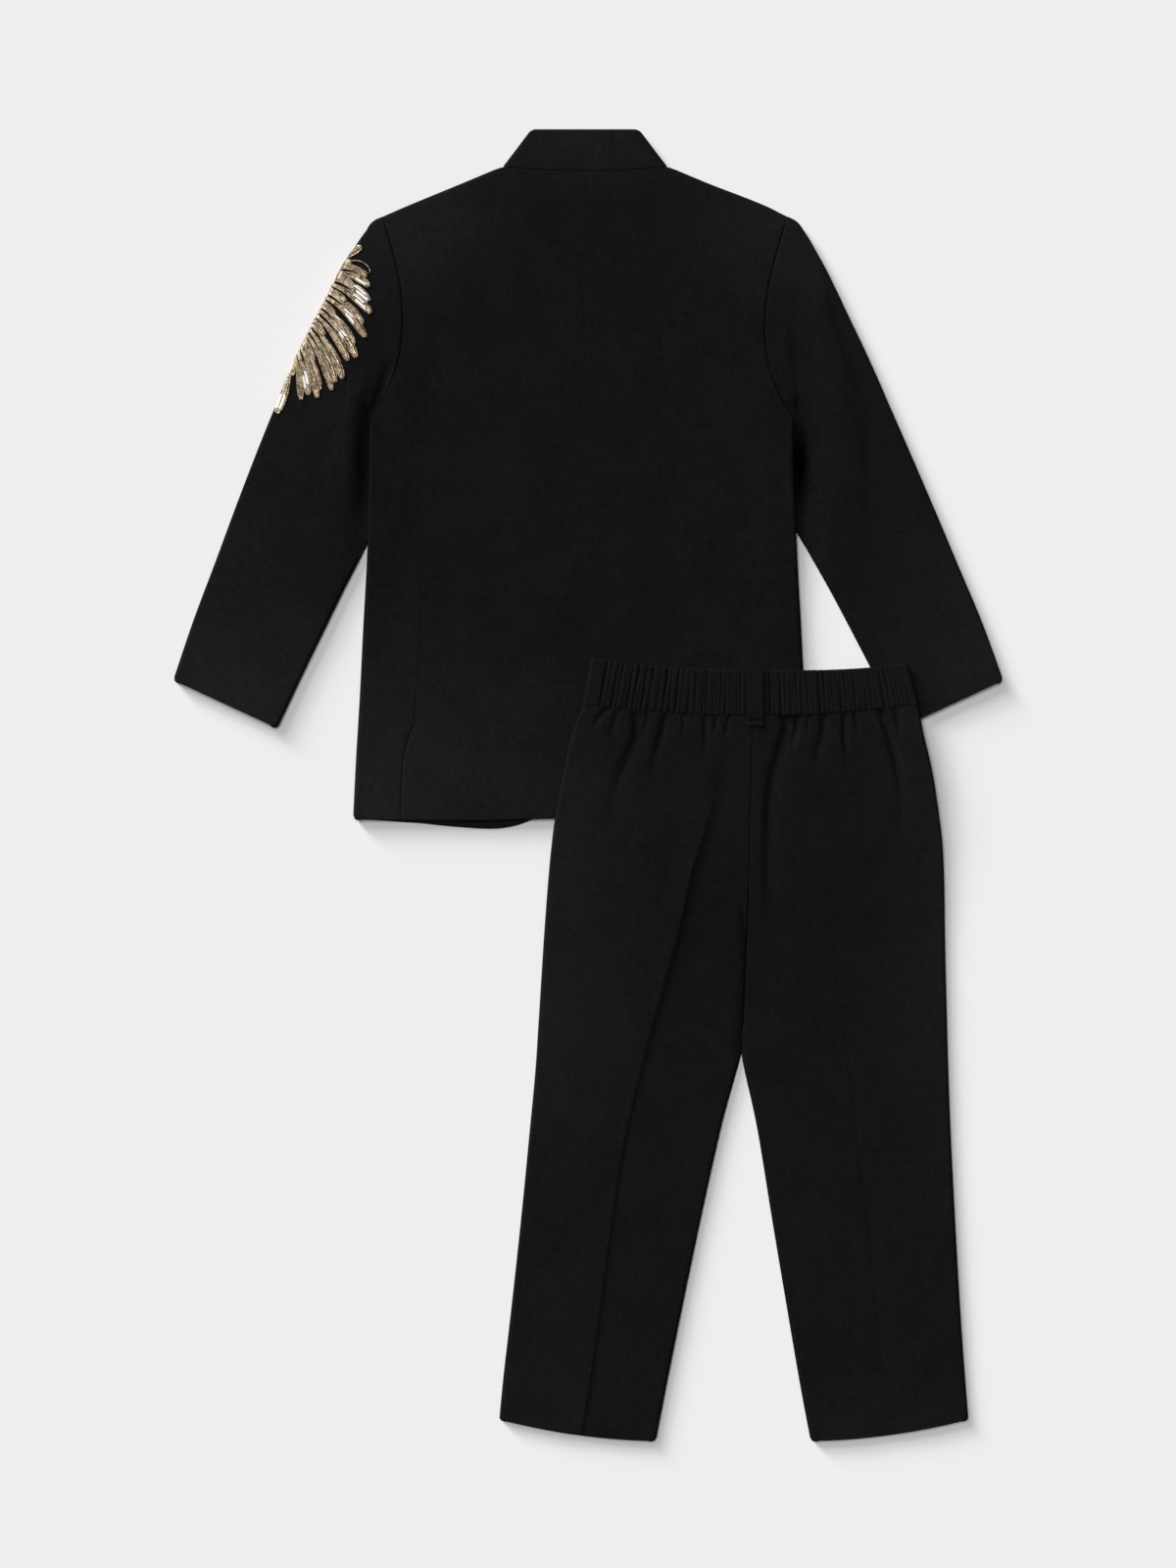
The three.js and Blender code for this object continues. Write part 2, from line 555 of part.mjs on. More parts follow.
// The stand collar: one band from its end at the centre front, round both sides, to its other end. It lies
// flat, its back on top and its two fronts under it, folded at the sides.
function collar() {
  const foldBase = JACKET.neckHalf - COLLAR.wall / 2;
  const wide = 2 * foldBase;
  const neckAt = (share) => at(share * foldBase, -GAP / 2 - JACKET.neckRise * share * share);
  const cornerDrop = (share) => COLLAR.corner * smoothstep(Math.abs(share), CORNER_FROM, 1);
  const topAt = (share) => at(share * COLLAR.topHalf, cornerDrop(share) - COLLAR.height);
  const toFolds = foldBase / JACKET.neckHalf;
  const neckRows = FRONT_NECK.slice(0, -1);
  const frontNeck = chords(neckRows.map(({ half, drop }) => at(half * toFolds, drop - COLLAR.sink)));
  const frontTop = through(columns(COLLAR_FRONT_TOP, "half", "drop"));
  const over = [...foldShares(wide), ...COLLAR_SHARES, ...foldShares(wide).map((t) => 1 - t).reverse()];
  const under = [...foldShares(COLLAR.frontLength).slice(1), ...range(neckRows.length - 1).slice(1)];
  const middle = (OVER + UNDER) / 2;
  const grid = COLLAR_ROWS.map((v) => {
    const back = over.map((t) => {
      const p = neckAt(2 * t - 1).lerp(topAt(2 * t - 1), v);
      return new THREE.Vector3(p.x, p.y, middle + (bodyOver(p) - middle) * turn(Math.min(t, 1 - t) * wide));
    });
    const arm = (sign) =>
      under.map((t) => {
        const p = frontNeck(t).lerp(frontTop(t), v);
        const z = middle + (COLLAR.wall / 2 - middle) * turn(t * COLLAR.frontLength);
        return new THREE.Vector3(sign * p.x, p.y, z);
      });
    return [...arm(-1).reverse(), ...back, ...arm(1)];
  });
  return piece("jacket_collar", wall(grid, COLLAR.wall));
}

// A round flat button with soft rims, sewn to the fronts and lying on the floor.
function button(number) {
  const { radius, thickness, rim } = BUTTON;
  const profile = [
    new THREE.Vector2(0, 0),
    new THREE.Vector2(radius - rim, 0),
    new THREE.Vector2(radius, rim),
    new THREE.Vector2(radius, thickness - rim),
    new THREE.Vector2(radius - rim, thickness),
    new THREE.Vector2(0, thickness),
  ];
  const mesh = piece(`jacket_button_${number + 1}`, new THREE.LatheGeometry(profile, BUTTON.sides), horn);
  const drop = BUTTON.firstDrop + number * BUTTON.pitch;
  mesh.rotation.x = Math.PI / 2;
  mesh.position.set(leanAt(drop), -drop, 0);
  return mesh;
}

function jacket() {
  const group = new THREE.Group();
  group.position.set(JACKET.x, JACKET.y, 0);
  for (const side of SIDES) group.add(backPanel(side), sidePanel(side), frontPanel(side), sleeve(side));
  group.add(collar());
  for (let number = 0; number < BUTTON.count; number++) group.add(button(number));
  return group;
}

// ---------------------------------------------------------------- the trousers' layers
const LEG_UNDER = TROUSERS.wall / 2;
const LEG_OVER = LEG_UNDER + TROUSERS.wall + TROUSERS.loft;

// The outlines that the trousers lie on, in the jacket's frame: its body and its right sleeve.
const along = (curve) => range(OUTLINE_STEPS).map((t) => curve(t));
const hemLine = (sign) =>
  along(through(columns(FRONT_HEM, "half", "drop", sign))).map((p) => {
    return leaned(new THREE.Vector2(p.x, Math.min(p.y, -JACKET.backLength)));
  });
const [LEFT, RIGHT] = SIDES;
const jacketOutlines = [
  [...along(bodyFold(RIGHT)), ...hemLine(1).reverse(), ...hemLine(-1), ...along(bodyFold(LEFT)).reverse()],
  [
    ...along(sleeveEdge(RIGHT, "outer", "outerDrop")),
    ...along(sleeveEdge(RIGHT, "inner", "innerDrop")).reverse(),
  ],
];
const toJacket = new THREE.Vector2(TROUSERS.x - JACKET.x, TROUSERS.y - JACKET.y);
// How far a place on the trousers is lifted by what lies under it.
function liftAt(p) {
  const q = p.clone().add(toJacket);
  const beyond = Math.min(...jacketOutlines.map((outline) => distanceOutside(outline, q)));
  const top = OVER + UNDER + REST.above + crownAt(q);
  return top * (1 - ramp(beyond, REST.beyond));
}

const waistSeam = through(columns(WAIST_SEAM, "out", "drop"));
// The elastic waist gathers the back in soft folds that fade out down the seat.
function gatherAt(p) {
  const wave = 0.5 - 0.5 * Math.cos((2 * Math.PI * p.x) / GATHERS.pitch);
  return GATHERS.depth * wave * (1 - ramp(-p.y, GATHERS.drop));
}

function trouserPanel(side, isBack) {
  const s = side.sign;
  const table = s < 0 ? LEFT_LEG : RIGHT_LEG;
  const last = table.length - 1;
  const outer = through(table.map((row) => at(row.outer - (s * TROUSERS.wall) / 2, row.outerDrop)));
  const innerInset = (row) => (s * (row > CROTCH_ROW ? TROUSERS.wall : GAP)) / 2;
  const inner = through(table.map((row, i) => at(row.inner + innerInset(i), row.innerDrop)));
  const seamGap = new THREE.Vector2(0, -GAP);
  const halfSeam = s < 0 ? stretch(waistSeam, 0, 0.5) : stretch(waistSeam, 1, 0.5);
  const belly = (t) => new THREE.Vector2(0, -4 * TROUSERS.hemBelly * t * (1 - t));
  const plan = panelPlan({
    top: (t) => halfSeam(t).add(seamGap).add(new THREE.Vector2(t * innerInset(0), 0)),
    bottom: (t) => outer(1).lerp(inner(1), t).add(belly(t)),
    near: (t) => outer(t).addScaledVector(seamGap, 1 - t),
    far: (t) => inner(t).addScaledVector(seamGap, 1 - t),
  });
  const edges = foldShares(LEG_WIDTH);
  const between = isBack ? LEG_BACK_SHARES : LEG_FRONT_SHARES;
  const across = [...edges, ...between, ...edges.map((t) => 1 - t).reverse()];
  const grid = table.map((_, row) => {
    const v = row / last;
    const width = plan(0, v).distanceTo(plan(1, v));
    const middle = (LEG_OVER + LEG_UNDER + (isBack ? GAP : -GAP)) / 2;
    return across.map((u) => {
      const p = plan(u, v);
      const full = isBack ? LEG_OVER - gatherAt(p) : LEG_UNDER;
      const insideLeg = row > CROTCH_ROW ? turn((1 - u) * width) : 1;
      const z = middle + (full - middle) * turn(u * width) * insideLeg;
      return new THREE.Vector3(p.x, p.y, liftAt(p) + z);
    });
  });
  return piece(`trousers_${isBack ? "back" : "front"}_${side.name}`, wall(grid, TROUSERS.wall));
}

// The waistband is one flat ring. Elastic draws its back up in ribs, between two plain ends.
function waistband() {
  const top = through(columns(BAND_TOP, "out", "drop"));
  const plain = BAND.plainEnd / BAND.width;
  const ribColumns = range(2 * BAND.ribs).map((t) => lerp(plain, 1 - plain, t));
  const edges = foldShares(BAND.width);
  const farEdges = edges.map((t) => 1 - t).reverse();
  const over = [...edges, ...ribColumns, ...farEdges];
  const under = [...edges.slice(1), ...BAND_UNDER_SHARES, ...farEdges.slice(0, -1)].reverse();
  const low = BAND.wall / 2;
  const middle = (LEG_OVER + low) / 2;
  const grid = [0, 1].map((v) => {
    const place = (t, full) => {
      const p = top(t).lerp(waistSeam(t), v);
      const turned = turn(Math.min(t, 1 - t) * BAND.width);
      return new THREE.Vector3(p.x, p.y, liftAt(p) + middle + (full - middle) * turned);
    };
    const rib = (t) => {
      const count = Math.round((t - plain) / (ribColumns[1] - ribColumns[0]));
      return t > plain && t < 1 - plain ? BAND.rib * ((count % 2) - 0.5) : 0;
    };
    return [...over.map((t) => place(t, LEG_OVER + rib(t))), ...under.map((t) => place(t, low))];
  });
  return piece("trousers_waistband", wall(grid, BAND.wall, true));
}

// The belt loop lies on the ribs and is sewn down past the waist seam.
function beltLoop() {
  const onBand = LEG_OVER + (BAND.wall + BAND.rib + LOOP.wall) / 2 + GAP;
  const onSeat = LEG_OVER + (TROUSERS.wall + LOOP.wall) / 2 + GAP;
  const rows = [
    { drop: LOOP.top, height: onBand },
    { drop: LOOP.bend, height: onBand },
    { drop: LOOP.flat, height: onSeat },
    { drop: LOOP.bottom, height: onSeat },
  ];
  const grid = rows.map(({ drop, height }) =>
    [-0.5, 0.5].map((share) => {
      const p = at(LOOP.out + share * LOOP.width, drop);
      return new THREE.Vector3(p.x, p.y, liftAt(p) + height);
    }),
  );
  return piece("trousers_belt_loop", wall(grid, LOOP.wall));
}

function trousers() {
  const group = new THREE.Group();
  group.position.set(TROUSERS.x, TROUSERS.y, 0);
  for (const side of SIDES) group.add(trouserPanel(side, true), trouserPanel(side, false));
  group.add(waistband(), beltLoop());
  return group;
}

const suit = new THREE.Group();
suit.add(jacket(), trousers());
export default suit;
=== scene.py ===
"""A boy's jodhpuri suit laid out flat with its back up: a bandhgala jacket, and its pull-on trousers over the
jacket's lower right.

Every piece of cloth is a fine closed shell on its CAD solid's cut, a little corrected, with the folds,
gathers and ribs that the solid leaves out. Places are in millimetres in the garment's own frame, by their
distance from the centre back (half, or out) and their drop below the garment's top seam, until a mesh is made
in metres in the CAD's frame.
"""
import math

import bpy
import numpy as np
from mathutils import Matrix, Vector


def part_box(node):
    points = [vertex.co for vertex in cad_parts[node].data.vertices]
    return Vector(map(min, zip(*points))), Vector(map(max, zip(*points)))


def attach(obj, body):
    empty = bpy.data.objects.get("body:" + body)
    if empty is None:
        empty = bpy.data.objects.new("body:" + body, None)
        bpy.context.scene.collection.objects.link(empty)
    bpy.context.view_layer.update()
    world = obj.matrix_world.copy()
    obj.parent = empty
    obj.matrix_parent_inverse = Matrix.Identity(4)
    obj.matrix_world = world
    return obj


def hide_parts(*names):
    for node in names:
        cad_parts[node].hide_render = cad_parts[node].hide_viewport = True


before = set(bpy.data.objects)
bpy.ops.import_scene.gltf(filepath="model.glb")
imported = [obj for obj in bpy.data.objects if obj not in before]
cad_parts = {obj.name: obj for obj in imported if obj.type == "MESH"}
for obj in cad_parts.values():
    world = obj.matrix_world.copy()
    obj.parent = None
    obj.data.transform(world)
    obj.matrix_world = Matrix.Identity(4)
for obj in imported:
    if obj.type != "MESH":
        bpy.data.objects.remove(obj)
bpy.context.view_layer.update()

MM = 0.001


def table(columns, *rows):
    """The rows of a table, as an array for each of its named columns."""
    return dict(zip(columns.split(), np.array(rows, float).T))


# ---------------------------------------------------------------- the cut, close to the CAD model's
GAP = 0.3  # between one piece and another that lies on it
PASS = 0.04  # how far each piece's rounded edge passes the line of its seam, so that the seam is closed
PRESSED_PASS = 0.11  # the same at a seam that is pressed flat
ARMHOLE_SLIT = 0.3  # how far each upper piece stays back from an armhole's line, away from its two ends
SLIT_SHARES = (0.02, 0.08, 0.92, 1)  # of an armhole: its slit begins, is open, starts to close, is closed
# How far the edges stay back in the seat's seam, at each drop.
SEAT_SLIT = table("drop width", (38, 0), (56, 0.2), (170, 0.25), (230, 0.7), (300, 1.1))
FOLD_REACH = 3.0  # how far in from a folded edge the cloth starts to turn down
SIDES = {"left": -1, "right": 1}

JACKET_WALL = 1.8
JACKET_LOFT = 3.6
BACK_LENGTH = 527.5
NECK_HALF = 67
NAPE_DROP = 1.2
NECK_RISE = 3.6
CROWN = 1.2
LAP = 12
COLLAR_WALL = 2.2
COLLAR_HEIGHT = 33
COLLAR_TOP_HALF = 44
COLLAR_CORNER = 1.5
COLLAR_FRONT_LENGTH = 95
BUTTON_THICKNESS = 1.8
BUTTON_COUNT = 5
BUTTON_FIRST_DROP = 74
BUTTON_PITCH = 78

ARMHOLE = table(
    "half drop",
    (164.6, 38.5), (156.5, 67), (151, 90), (148, 114), (148.2, 139), (152.6, 163), (161.4, 184), (172.4, 204),
)
SIDE_SEAM_AT = 5 / 7  # where on the armhole the side panel begins
SIDE_SEAM_DROP = 163
BODY_EDGE = table(
    "half drop",
    (172.4, 204), (173.5, 257), (175.2, 310), (178.6, 370), (181.6, 430), (184.6, 480), (187, 529),
)
SIDE_SEAM = table(
    "half drop",
    (152.6, 163), (141, 215), (134, 270), (131.6, 325), (132.4, 380), (136.6, 452),
)
VENT_EDGE = table("half drop", (136.6, 452), (141.5, 466), (145.6, 482), (146.8, 504), (147.4, 530))
VENT_AT = 0.8  # the share of the side seam, from the armhole to the hem, where the vent begins
VENT_UNDERLAP = 15
VENT_SINK = 2.4
FRONT_SEAM = table(
    "half drop",
    (152.6, 163), (138, 215), (128, 290), (126, 380), (128, 460), (131, 532.5),
)
FRONT_HEM = table(
    "half drop",
    (-LAP, 470), (-3, 492), (16, 512), (41, 529.5), (67, 536.6), (100, 535.6), (131, 532.5),
)
FRONT_NECK = table("half drop", (67, -2.4), (60, 16), (44, 34), (22, 47), (1.5, 50.8), (-LAP, 52.5))
COLLAR_FRONT_TOP = table("half drop", (44, -31.5), (33, -12), (21, 3), (11, 13), (4, 17))
SLEEVE = table(
    "outer outer_drop inner inner_drop",
    (165, 38.5, 174.4, 204),
    (177.6, 49.5, 171.5, 214),
    (193.8, 74, 168, 226),
    (208.8, 103, 164, 243),
    (227.6, 142, 164, 264),
    (246, 184, 169, 286),
    (263.8, 226, 181, 308.5),
    (283.4, 274, 198.3, 340.5),
    (301.6, 320, 214.9, 373),
    (320.7, 368, 234.9, 413),
    (337.6, 416, 254.5, 454.5),
)
# A sleeve's outer fold swells beyond that table at its head, and the right one then lies a little further in.
# Each of these begins, is full, starts to go and has gone so far below the head's top.
HEAD_TOP = 38.5
HEAD_SWELL = {"left": 2.2, "right": 1.7}
HEAD_DOWN = (0, 3, 4, 12)
FOLD_HOLLOW = {"left": 0, "right": 1.8}
HOLLOW_DOWN = (4, 36, 72, 141.5)
HEAD_TUCK = 0.5  # how far in the fold starts, under the shoulder's tip
TUCK_RUN = 1  # how far down from there it is still held in
SLEEVE_SWING = 5  # how far both sleeves lie to the right at their cuffs
SWING_DOWN = (150, 440)
SHOULDER_BOW = {"left": 0.3, "right": 1.3}  # how far a shoulder rises above a straight line
SHOULDER_BOW_SHARES = (0.3, 0.75, 0.82, 1)
SLEEVE_TOP_WIDTH = 190
SLEEVE_RUN = 360  # about a sleeve's length from its seam to its cuff
UNDERARM_RUN = 150
NECK_SHARE = 0.42  # the share of a panel's top edge that lies on the neck seam

TROUSERS_WALL = 1.2
TROUSERS_LOFT = 3.2
HEM_BELLY = 3.6
SEAM_ALLOWANCE = 1.2  # how far the legs go up under the waistband
LEG_WIDTH = 130
LEG_LENGTH = 600
CROTCH_ROW = 8
LEG_COLUMNS = "outer outer_drop inner inner_drop"
LEGS = {
    "left": table(
        LEG_COLUMNS,
        (-138.2, 29.5, 0, 37.8),
        (-147, 52, -0.8, 60),
        (-154, 82, -1.6, 88),
        (-160, 112, -2.2, 116),
        (-164, 141, -2.7, 142),
        (-167, 172, -3.7, 174),
        (-170.6, 220, -5, 220),
        (-174.8, 286, -7.6, 280),
        (-177.6, 328, -9.3, 310),
        (-182.6, 381, -26, 374),
        (-189.2, 448, -42.5, 448),
        (-196.8, 518, -57.5, 520),
        (-203.4, 575, -70, 582),
        (-207, 612, -79, 628.8),
    ),
    "right": table(
        LEG_COLUMNS,
        (134.2, 29.5, 0, 37.8),
        (138.8, 52, -0.8, 60),
        (145.8, 82, -1.6, 88),
        (150.7, 112, -2.2, 116),
        (154.4, 141, -2.7, 142),
        (156, 172, -3.7, 174),
        (156.8, 220, -5, 220),
        (158.4, 286, -7.6, 280),
        (159.6, 328, -9.3, 310),
        (161.6, 381, 3.4, 374),
        (165, 448, 15.5, 448),
        (169, 518, 27.6, 520),
        (173, 575, 38.2, 582),
        (176, 612, 47, 628.8),
    ),
}
BAND_TOP = table(
    "out drop",
    (-130.9, -9), (-86, -3.4), (-42, -1), (0, 0), (42, 0.6), (86, -1), (124.6, -4.8),
)
WAIST_SEAM = table(
    "out drop",
    (-137.6, 29.2), (-92, 33.4), (-44, 36.6), (0, 37.8), (44, 37), (90, 33.4), (133.6, 29.2),
)
BAND_WALL = 2.2
BAND_WIDTH = 262
LOOP_OUT = 1.6
LOOP_WIDTH = 13.2
LOOP_WALL = 1.5

# Where the garments lie: the jacket by its top button, the trousers by their belt loop.
button_low, button_high = (np.array(corner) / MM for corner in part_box("jacket_button_1"))
loop_low, loop_high = (np.array(corner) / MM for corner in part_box("trousers_belt_loop"))


# ---------------------------------------------------------------- what the solids leave out
def valley(path, depth, left, right, fade, sharp=1.6, opening=1):
    """A valley in the cloth down its path of (out, drop) points.

    Its walls are about left and right wide at its start, and opening times that at its end. It begins and
    ends over the two fade lengths. sharp is 1 for a crease and 2 for a soft trough. A depth below 0 makes a
    ridge.
    """
    return dict(path=path, depth=depth, left=left, right=right, fade=fade, sharp=sharp, opening=opening)


SLEEVE_FOLDS = {
    "left": [
        valley([(-158, 148), (-163, 165), (-168, 184), (-173, 202)], 2.4, 3.6, 8, (24, 14)),
        valley([(-166, 172), (-170, 188), (-175, 206)], 2.4, 4, 4, (16, 4)),
        valley([(-176, 150), (-186, 188), (-191, 230), (-198, 290)], -2.4, 14, 6, (40, 90), 2),
        valley([(-208, 196), (-216, 250), (-236, 320)], 0.7, 9, 16, (40, 70), 2),
    ],
    "right": [
        valley(
            [(169, 84), (171, 120), (172, 157), (176, 184), (181, 212), (184, 244)],
            1.9, 7, 17, (60, 30), 2,
        ),
        valley(
            [(194, 60), (203, 106), (213, 138), (222, 171), (228, 197), (232, 226), (233, 262), (228, 320)],
            1.5, 7, 15, (60, 90), 2,
        ),
        valley([(188, 80), (196, 118), (206, 150), (213, 186)], -0.5, 4, 6, (40, 50), 2),
    ],
}
# The dark mouth between the body's edge and the sleeve beside it: how far out the sleeve is still pressed
# down, and how far out it is up again.
MOUTH = {
    "left": table(
        "drop low high",
        (195, 0, 6), (215, 0, 11), (262, 1, 13), (285, 0, 24), (315, 0, 20), (330, 0, 6),
    ),
    "right": table("drop low high", (195, 2, 30), (215, 6, 42), (245, 7, 46), (270, 3, 38), (300, 0, 30)),
}
BODY_ROLL = 1.6  # how far the body's edge stands up over the sleeve beside it
BODY_FOLDS = [
    valley([(-121, 92), (-124, 150), (-131, 246)], 0.9, 8, 13, (50, 80), 2),
    valley([(100, 110), (97, 190), (92, 290)], 0.8, 16, 20, (60, 90), 2),
]
LEFT_CREASE = [
    (-37, 123), (-50, 165), (-60, 212), (-73, 260), (-86, 307), (-103, 376), (-113.5, 440), (-122.5, 508),
    (-131, 568), (-139.5, 624),
]
SEAT_FOLDS = {
    "left": [
        valley([(-119, 31), (-126, 40), (-130, 48)], 1.9, 1.7, 3, (1, 8)),
        valley([(-111, 33), (-114, 48), (-117, 62)], 1.4, 1.6, 3, (1, 18), opening=1.6),
        valley(
            [(-97, 35), (-95, 51), (-102, 71), (-112, 98), (-116, 140)],
            2.9, 2.3, 4.5, (1, 90), opening=2.8,
        ),
        valley([(-86, 35), (-88, 49), (-90, 62)], 1.3, 1.5, 2.4, (1, 18), opening=1.5),
        valley([(-71.5, 36), (-74.6, 51), (-80, 73), (-84, 98)], 2.5, 1.9, 3.6, (1, 48), opening=2),
        valley([(-57, 36), (-57, 48), (-58, 60)], 1.1, 1.3, 2, (1, 16)),
        valley([(-39.5, 37), (-39, 56), (-40, 80)], 2.1, 1.5, 2.4, (1, 36), opening=1.6),
        valley([(-30, 37), (-31, 47), (-32, 56)], 1.4, 1.3, 1.8, (1, 12)),
        valley([(-19.5, 37), (-22, 49), (-23.5, 60)], 1.6, 1.4, 2, (1, 14)),
        valley([(-20, 64), (-25, 92), (-33, 122), (-43, 156)], 1.2, 7, 9, (26, 46), 2),
        valley([(-30, 98), *LEFT_CREASE], -1.2, 20, 2.4, (60, 2), 1),
        valley([(-31, 98), *LEFT_CREASE[:6]], -1.9, 26, 4.4, (24, 190), 1),
        valley(
            [(-30, 98), (-36.4, 123), *((out + 0.8, drop) for out, drop in LEFT_CREASE[1:])],
            0.5, 0.8, 4, (120, 2), 1.4,
        ),
        valley(
            [(-10, 180), (-7.4, 204), (-4.6, 228), (-4, 251), (-7, 282), (-9.6, 316)],
            3.0, 3.4, 3, (40, 2), 1.3, 1.5,
        ),
    ],
    "right": [
        valley(
            [
                (23.5, 37), (26.5, 47), (20.5, 67), (15.3, 88), (12.7, 109), (11.4, 140), (11.6, 172),
                (12.6, 204), (14, 240),
            ],
            3.1, 2.8, 8, (1, 130), 1.6, 1.8,
        ),
        valley([(9.4, 108), (8.2, 137), (8.8, 189), (10.6, 246)], -0.9, 14, 7, (40, 60), 1),
        valley([(35, 37), (35, 47), (33, 57), (31.4, 74)], 2.4, 1.6, 2.4, (1, 30), opening=1.5),
        valley([(45, 37), (44, 46), (43, 56)], 1.2, 1.3, 1.8, (1, 12)),
        valley([(56.6, 36), (56.6, 49), (53, 66), (49, 98)], 2.4, 1.8, 3.2, (1, 54), opening=2.2),
        valley([(74, 35), (74, 55), (75, 66), (76, 82)], 2.3, 1.5, 2.4, (1, 32), opening=1.5),
        valley([(82.5, 34), (84.5, 48), (86.5, 58)], 1.6, 1.4, 2.0, (1, 14)),
        valley(
            [(101.6, 32), (107.6, 47), (113.8, 67), (118, 88), (121, 108), (122, 142)],
            2.8, 1.9, 4, (1, 80), opening=2.4,
        ),
        valley([(114.6, 31), (118, 46), (119.6, 56)], 1.7, 1.5, 2.2, (1, 12)),
        valley(
            [(62, 184), (69, 256), (77, 307), (85.6, 384), (94.4, 461), (102.4, 538), (108, 596)],
            0.35, 1.0, 8, (60, 40), 1.2,
        ),
    ],
}
# The valleys between the waistband's ribs, where elastic gathers it, by their place halfway down it.
RIBS = table(
    "out depth",
    (-118.8, 1.5), (-114.4, 0.6), (-110.3, 1.3), (-107.2, 0.8), (-103.1, 0.6), (-100.1, 1.0), (-96, 1.4),
    (-93, 0.4), (-89.9, 1.0), (-84.8, 1.4), (-78.6, 0.6), (-73.5, 1.6), (-69.5, 1.0), (-64.4, 1.1),
    (-60.3, 0.6), (-55.2, 0.8), (-50.1, 0.7), (-46.8, 0.4), (-44, 0.8), (-41.3, 1.5), (-35.8, 0.5),
    (-33, 0.4), (-29.3, 1.2), (-25.6, 0.8), (-22, 0.4), (-19.5, 0.5), (-16, 0.4), (-13.3, 1.1), (-8.2, 1.0),
    (11.6, 1.1), (15.2, 0.6), (20.3, 1.2), (24.4, 0.6), (28.5, 0.9), (31, 0.4), (33.6, 1.2), (37.7, 0.8),
    (42.8, 0.5), (46.4, 0.4), (52, 1.0), (56, 1.0), (59.2, 0.4), (62.2, 0.5), (65.4, 0.4), (68.3, 0.9),
    (72.4, 0.7), (75.8, 0.4), (79.5, 0.7), (84, 0.4), (88, 0.5), (92.4, 0.4), (96, 0.4), (100.9, 1.0),
    (105, 0.8), (109.1, 0.6), (112.6, 0.4), (116.3, 1.0), (120.3, 0.6),
)
RIB_WIDTH = 0.7  # how far from its middle a valley between ribs has almost gone
RIB_SHARP = 1.3
RIB_DEPTH = 1.25  # what the table's depths are multiplied by
RIB_UNEVEN = 0.45  # the share by which a valley gets deeper and shallower on its way down the band
RIB_ASLANT = 0.5  # how far aslant a valley runs at most
RIB_SWELL = 0.5  # how much the ribs stand above the solid's band
HEM_CORNER = 3.0  # the radius of a leg's two corners at its hem
CUFF_CORNER = 3.5  # the same of a cuff's
BODY_CORNER = 3.0  # and of the jacket body's at its sides
SLEEVE_LENGTH = 400
UNEVEN = 0.35  # how far the jacket's cloth swells up or down unevenly
TROUSERS_UNEVEN = 0.3

# Where the forms of the lay begin, are full, start to go and have gone, by drop or distance from the centre.
LEAN = 2.4  # how far left the body lies below the shoulders
LEAN_DOWN = (60, 200)
CROWN_OUT = (30, 80)
CROWN_DOWN = (440, 500)
TUCK_OUT = (142, 157)
TUCK_DOWN = (203, 216, 312, 345)
ROLL_OUT = (130, 157)
ROLL_DOWN = (160, 216, 300, 372)
EDGE_ROLL_ACROSS = (0.3, 0.9)  # as shares of the side panel's width
EDGE_ROLL_DOWN = (190, 235, 255, 330)
SLEEVE_PRESSED_DOWN = (186, 206, 300, 330)
MOUTH_DOWN = (176, 208, 305, 335)
MOUTH_BEYOND = (0.5, 3)  # this and the next as distances beyond the body's edge
SLEEVE_SWELL_BEYOND = (12, 30)
VENT_DOWN = (424, 464)
VENT_ACROSS = (-1.6, 1.5)  # as distances beyond the vent's edge
BUTTONS_OUT = (21, 42)
BUTTONS_DOWN = (45, 58)
BUTTONS_END = (20, 65)  # past the last button

# How far apart the columns and rows of points lie.
BACK_STEPS = (2.4, 2.7)
SIDE_STEPS = (1.0, 3.6)
FRONT_STEPS = (5, 5)
COLLAR_STEPS = (1.6, 1.5)
COLLAR_FRONT_STEP = 3
SLEEVE_COLUMNS = 72
SLEEVE_ROW_STEP = 2.7
TROUSERS_BACK_STEPS = (0.85, 4.2)
TROUSERS_FRONT_STEPS = (4.5, 5)
BAND_STEPS = (0.55, 1.5)
BAND_UNDER_STEP = 3
LOOP_STEP = 1


# ---------------------------------------------------------------- curves and plans
def smoothstep(x, low, high):
    t = np.clip((x - low) / (high - low), 0, 1)
    return t * t * (3 - 2 * t)


def between(x, begins, full, leaves, ends):
    """A share that grows from 0 to 1 over one stretch of x and goes back to 0 over another."""
    return smoothstep(x, begins, full) * (1 - smoothstep(x, leaves, ends))


def sideways(x):
    """Steps to the right on a plan."""
    return np.stack([x, np.zeros_like(x)], -1)


def upwards(y):
    """Steps up a plan."""
    return np.stack([np.zeros_like(y), y], -1)


def square_to(ways):
    """Directions on a plan, turned a quarter to the left."""
    return np.stack([-ways[..., 1], ways[..., 0]], -1)


def lerp(a, b, t):
    return a + (b - a) * t


def at(out, drop):
    return np.array([out, -drop], float)


def places(rows, out, drop, sign=1):
    return np.stack([sign * rows[out], -rows[drop]], -1)


def through(points):
    """A Catmull-Rom curve through points, evenly split between them, as a function of 0 to 1."""
    points = np.asarray(points, float)
    last = len(points) - 1

    def curve(t):
        run = np.clip(t, 0, 1) * last
        i = np.minimum(run.astype(int), last - 1)
        w = (run - i)[..., None]
        before, a, b, after = (points[np.clip(i + k, 0, last)] for k in (-1, 0, 1, 2))
        start, end = (b - before) / 2, (after - a) / 2
        return (2 * a - 2 * b + start + end) * w**3 + (3 * b - 3 * a - 2 * start - end) * w**2 + start * w + a

    return curve


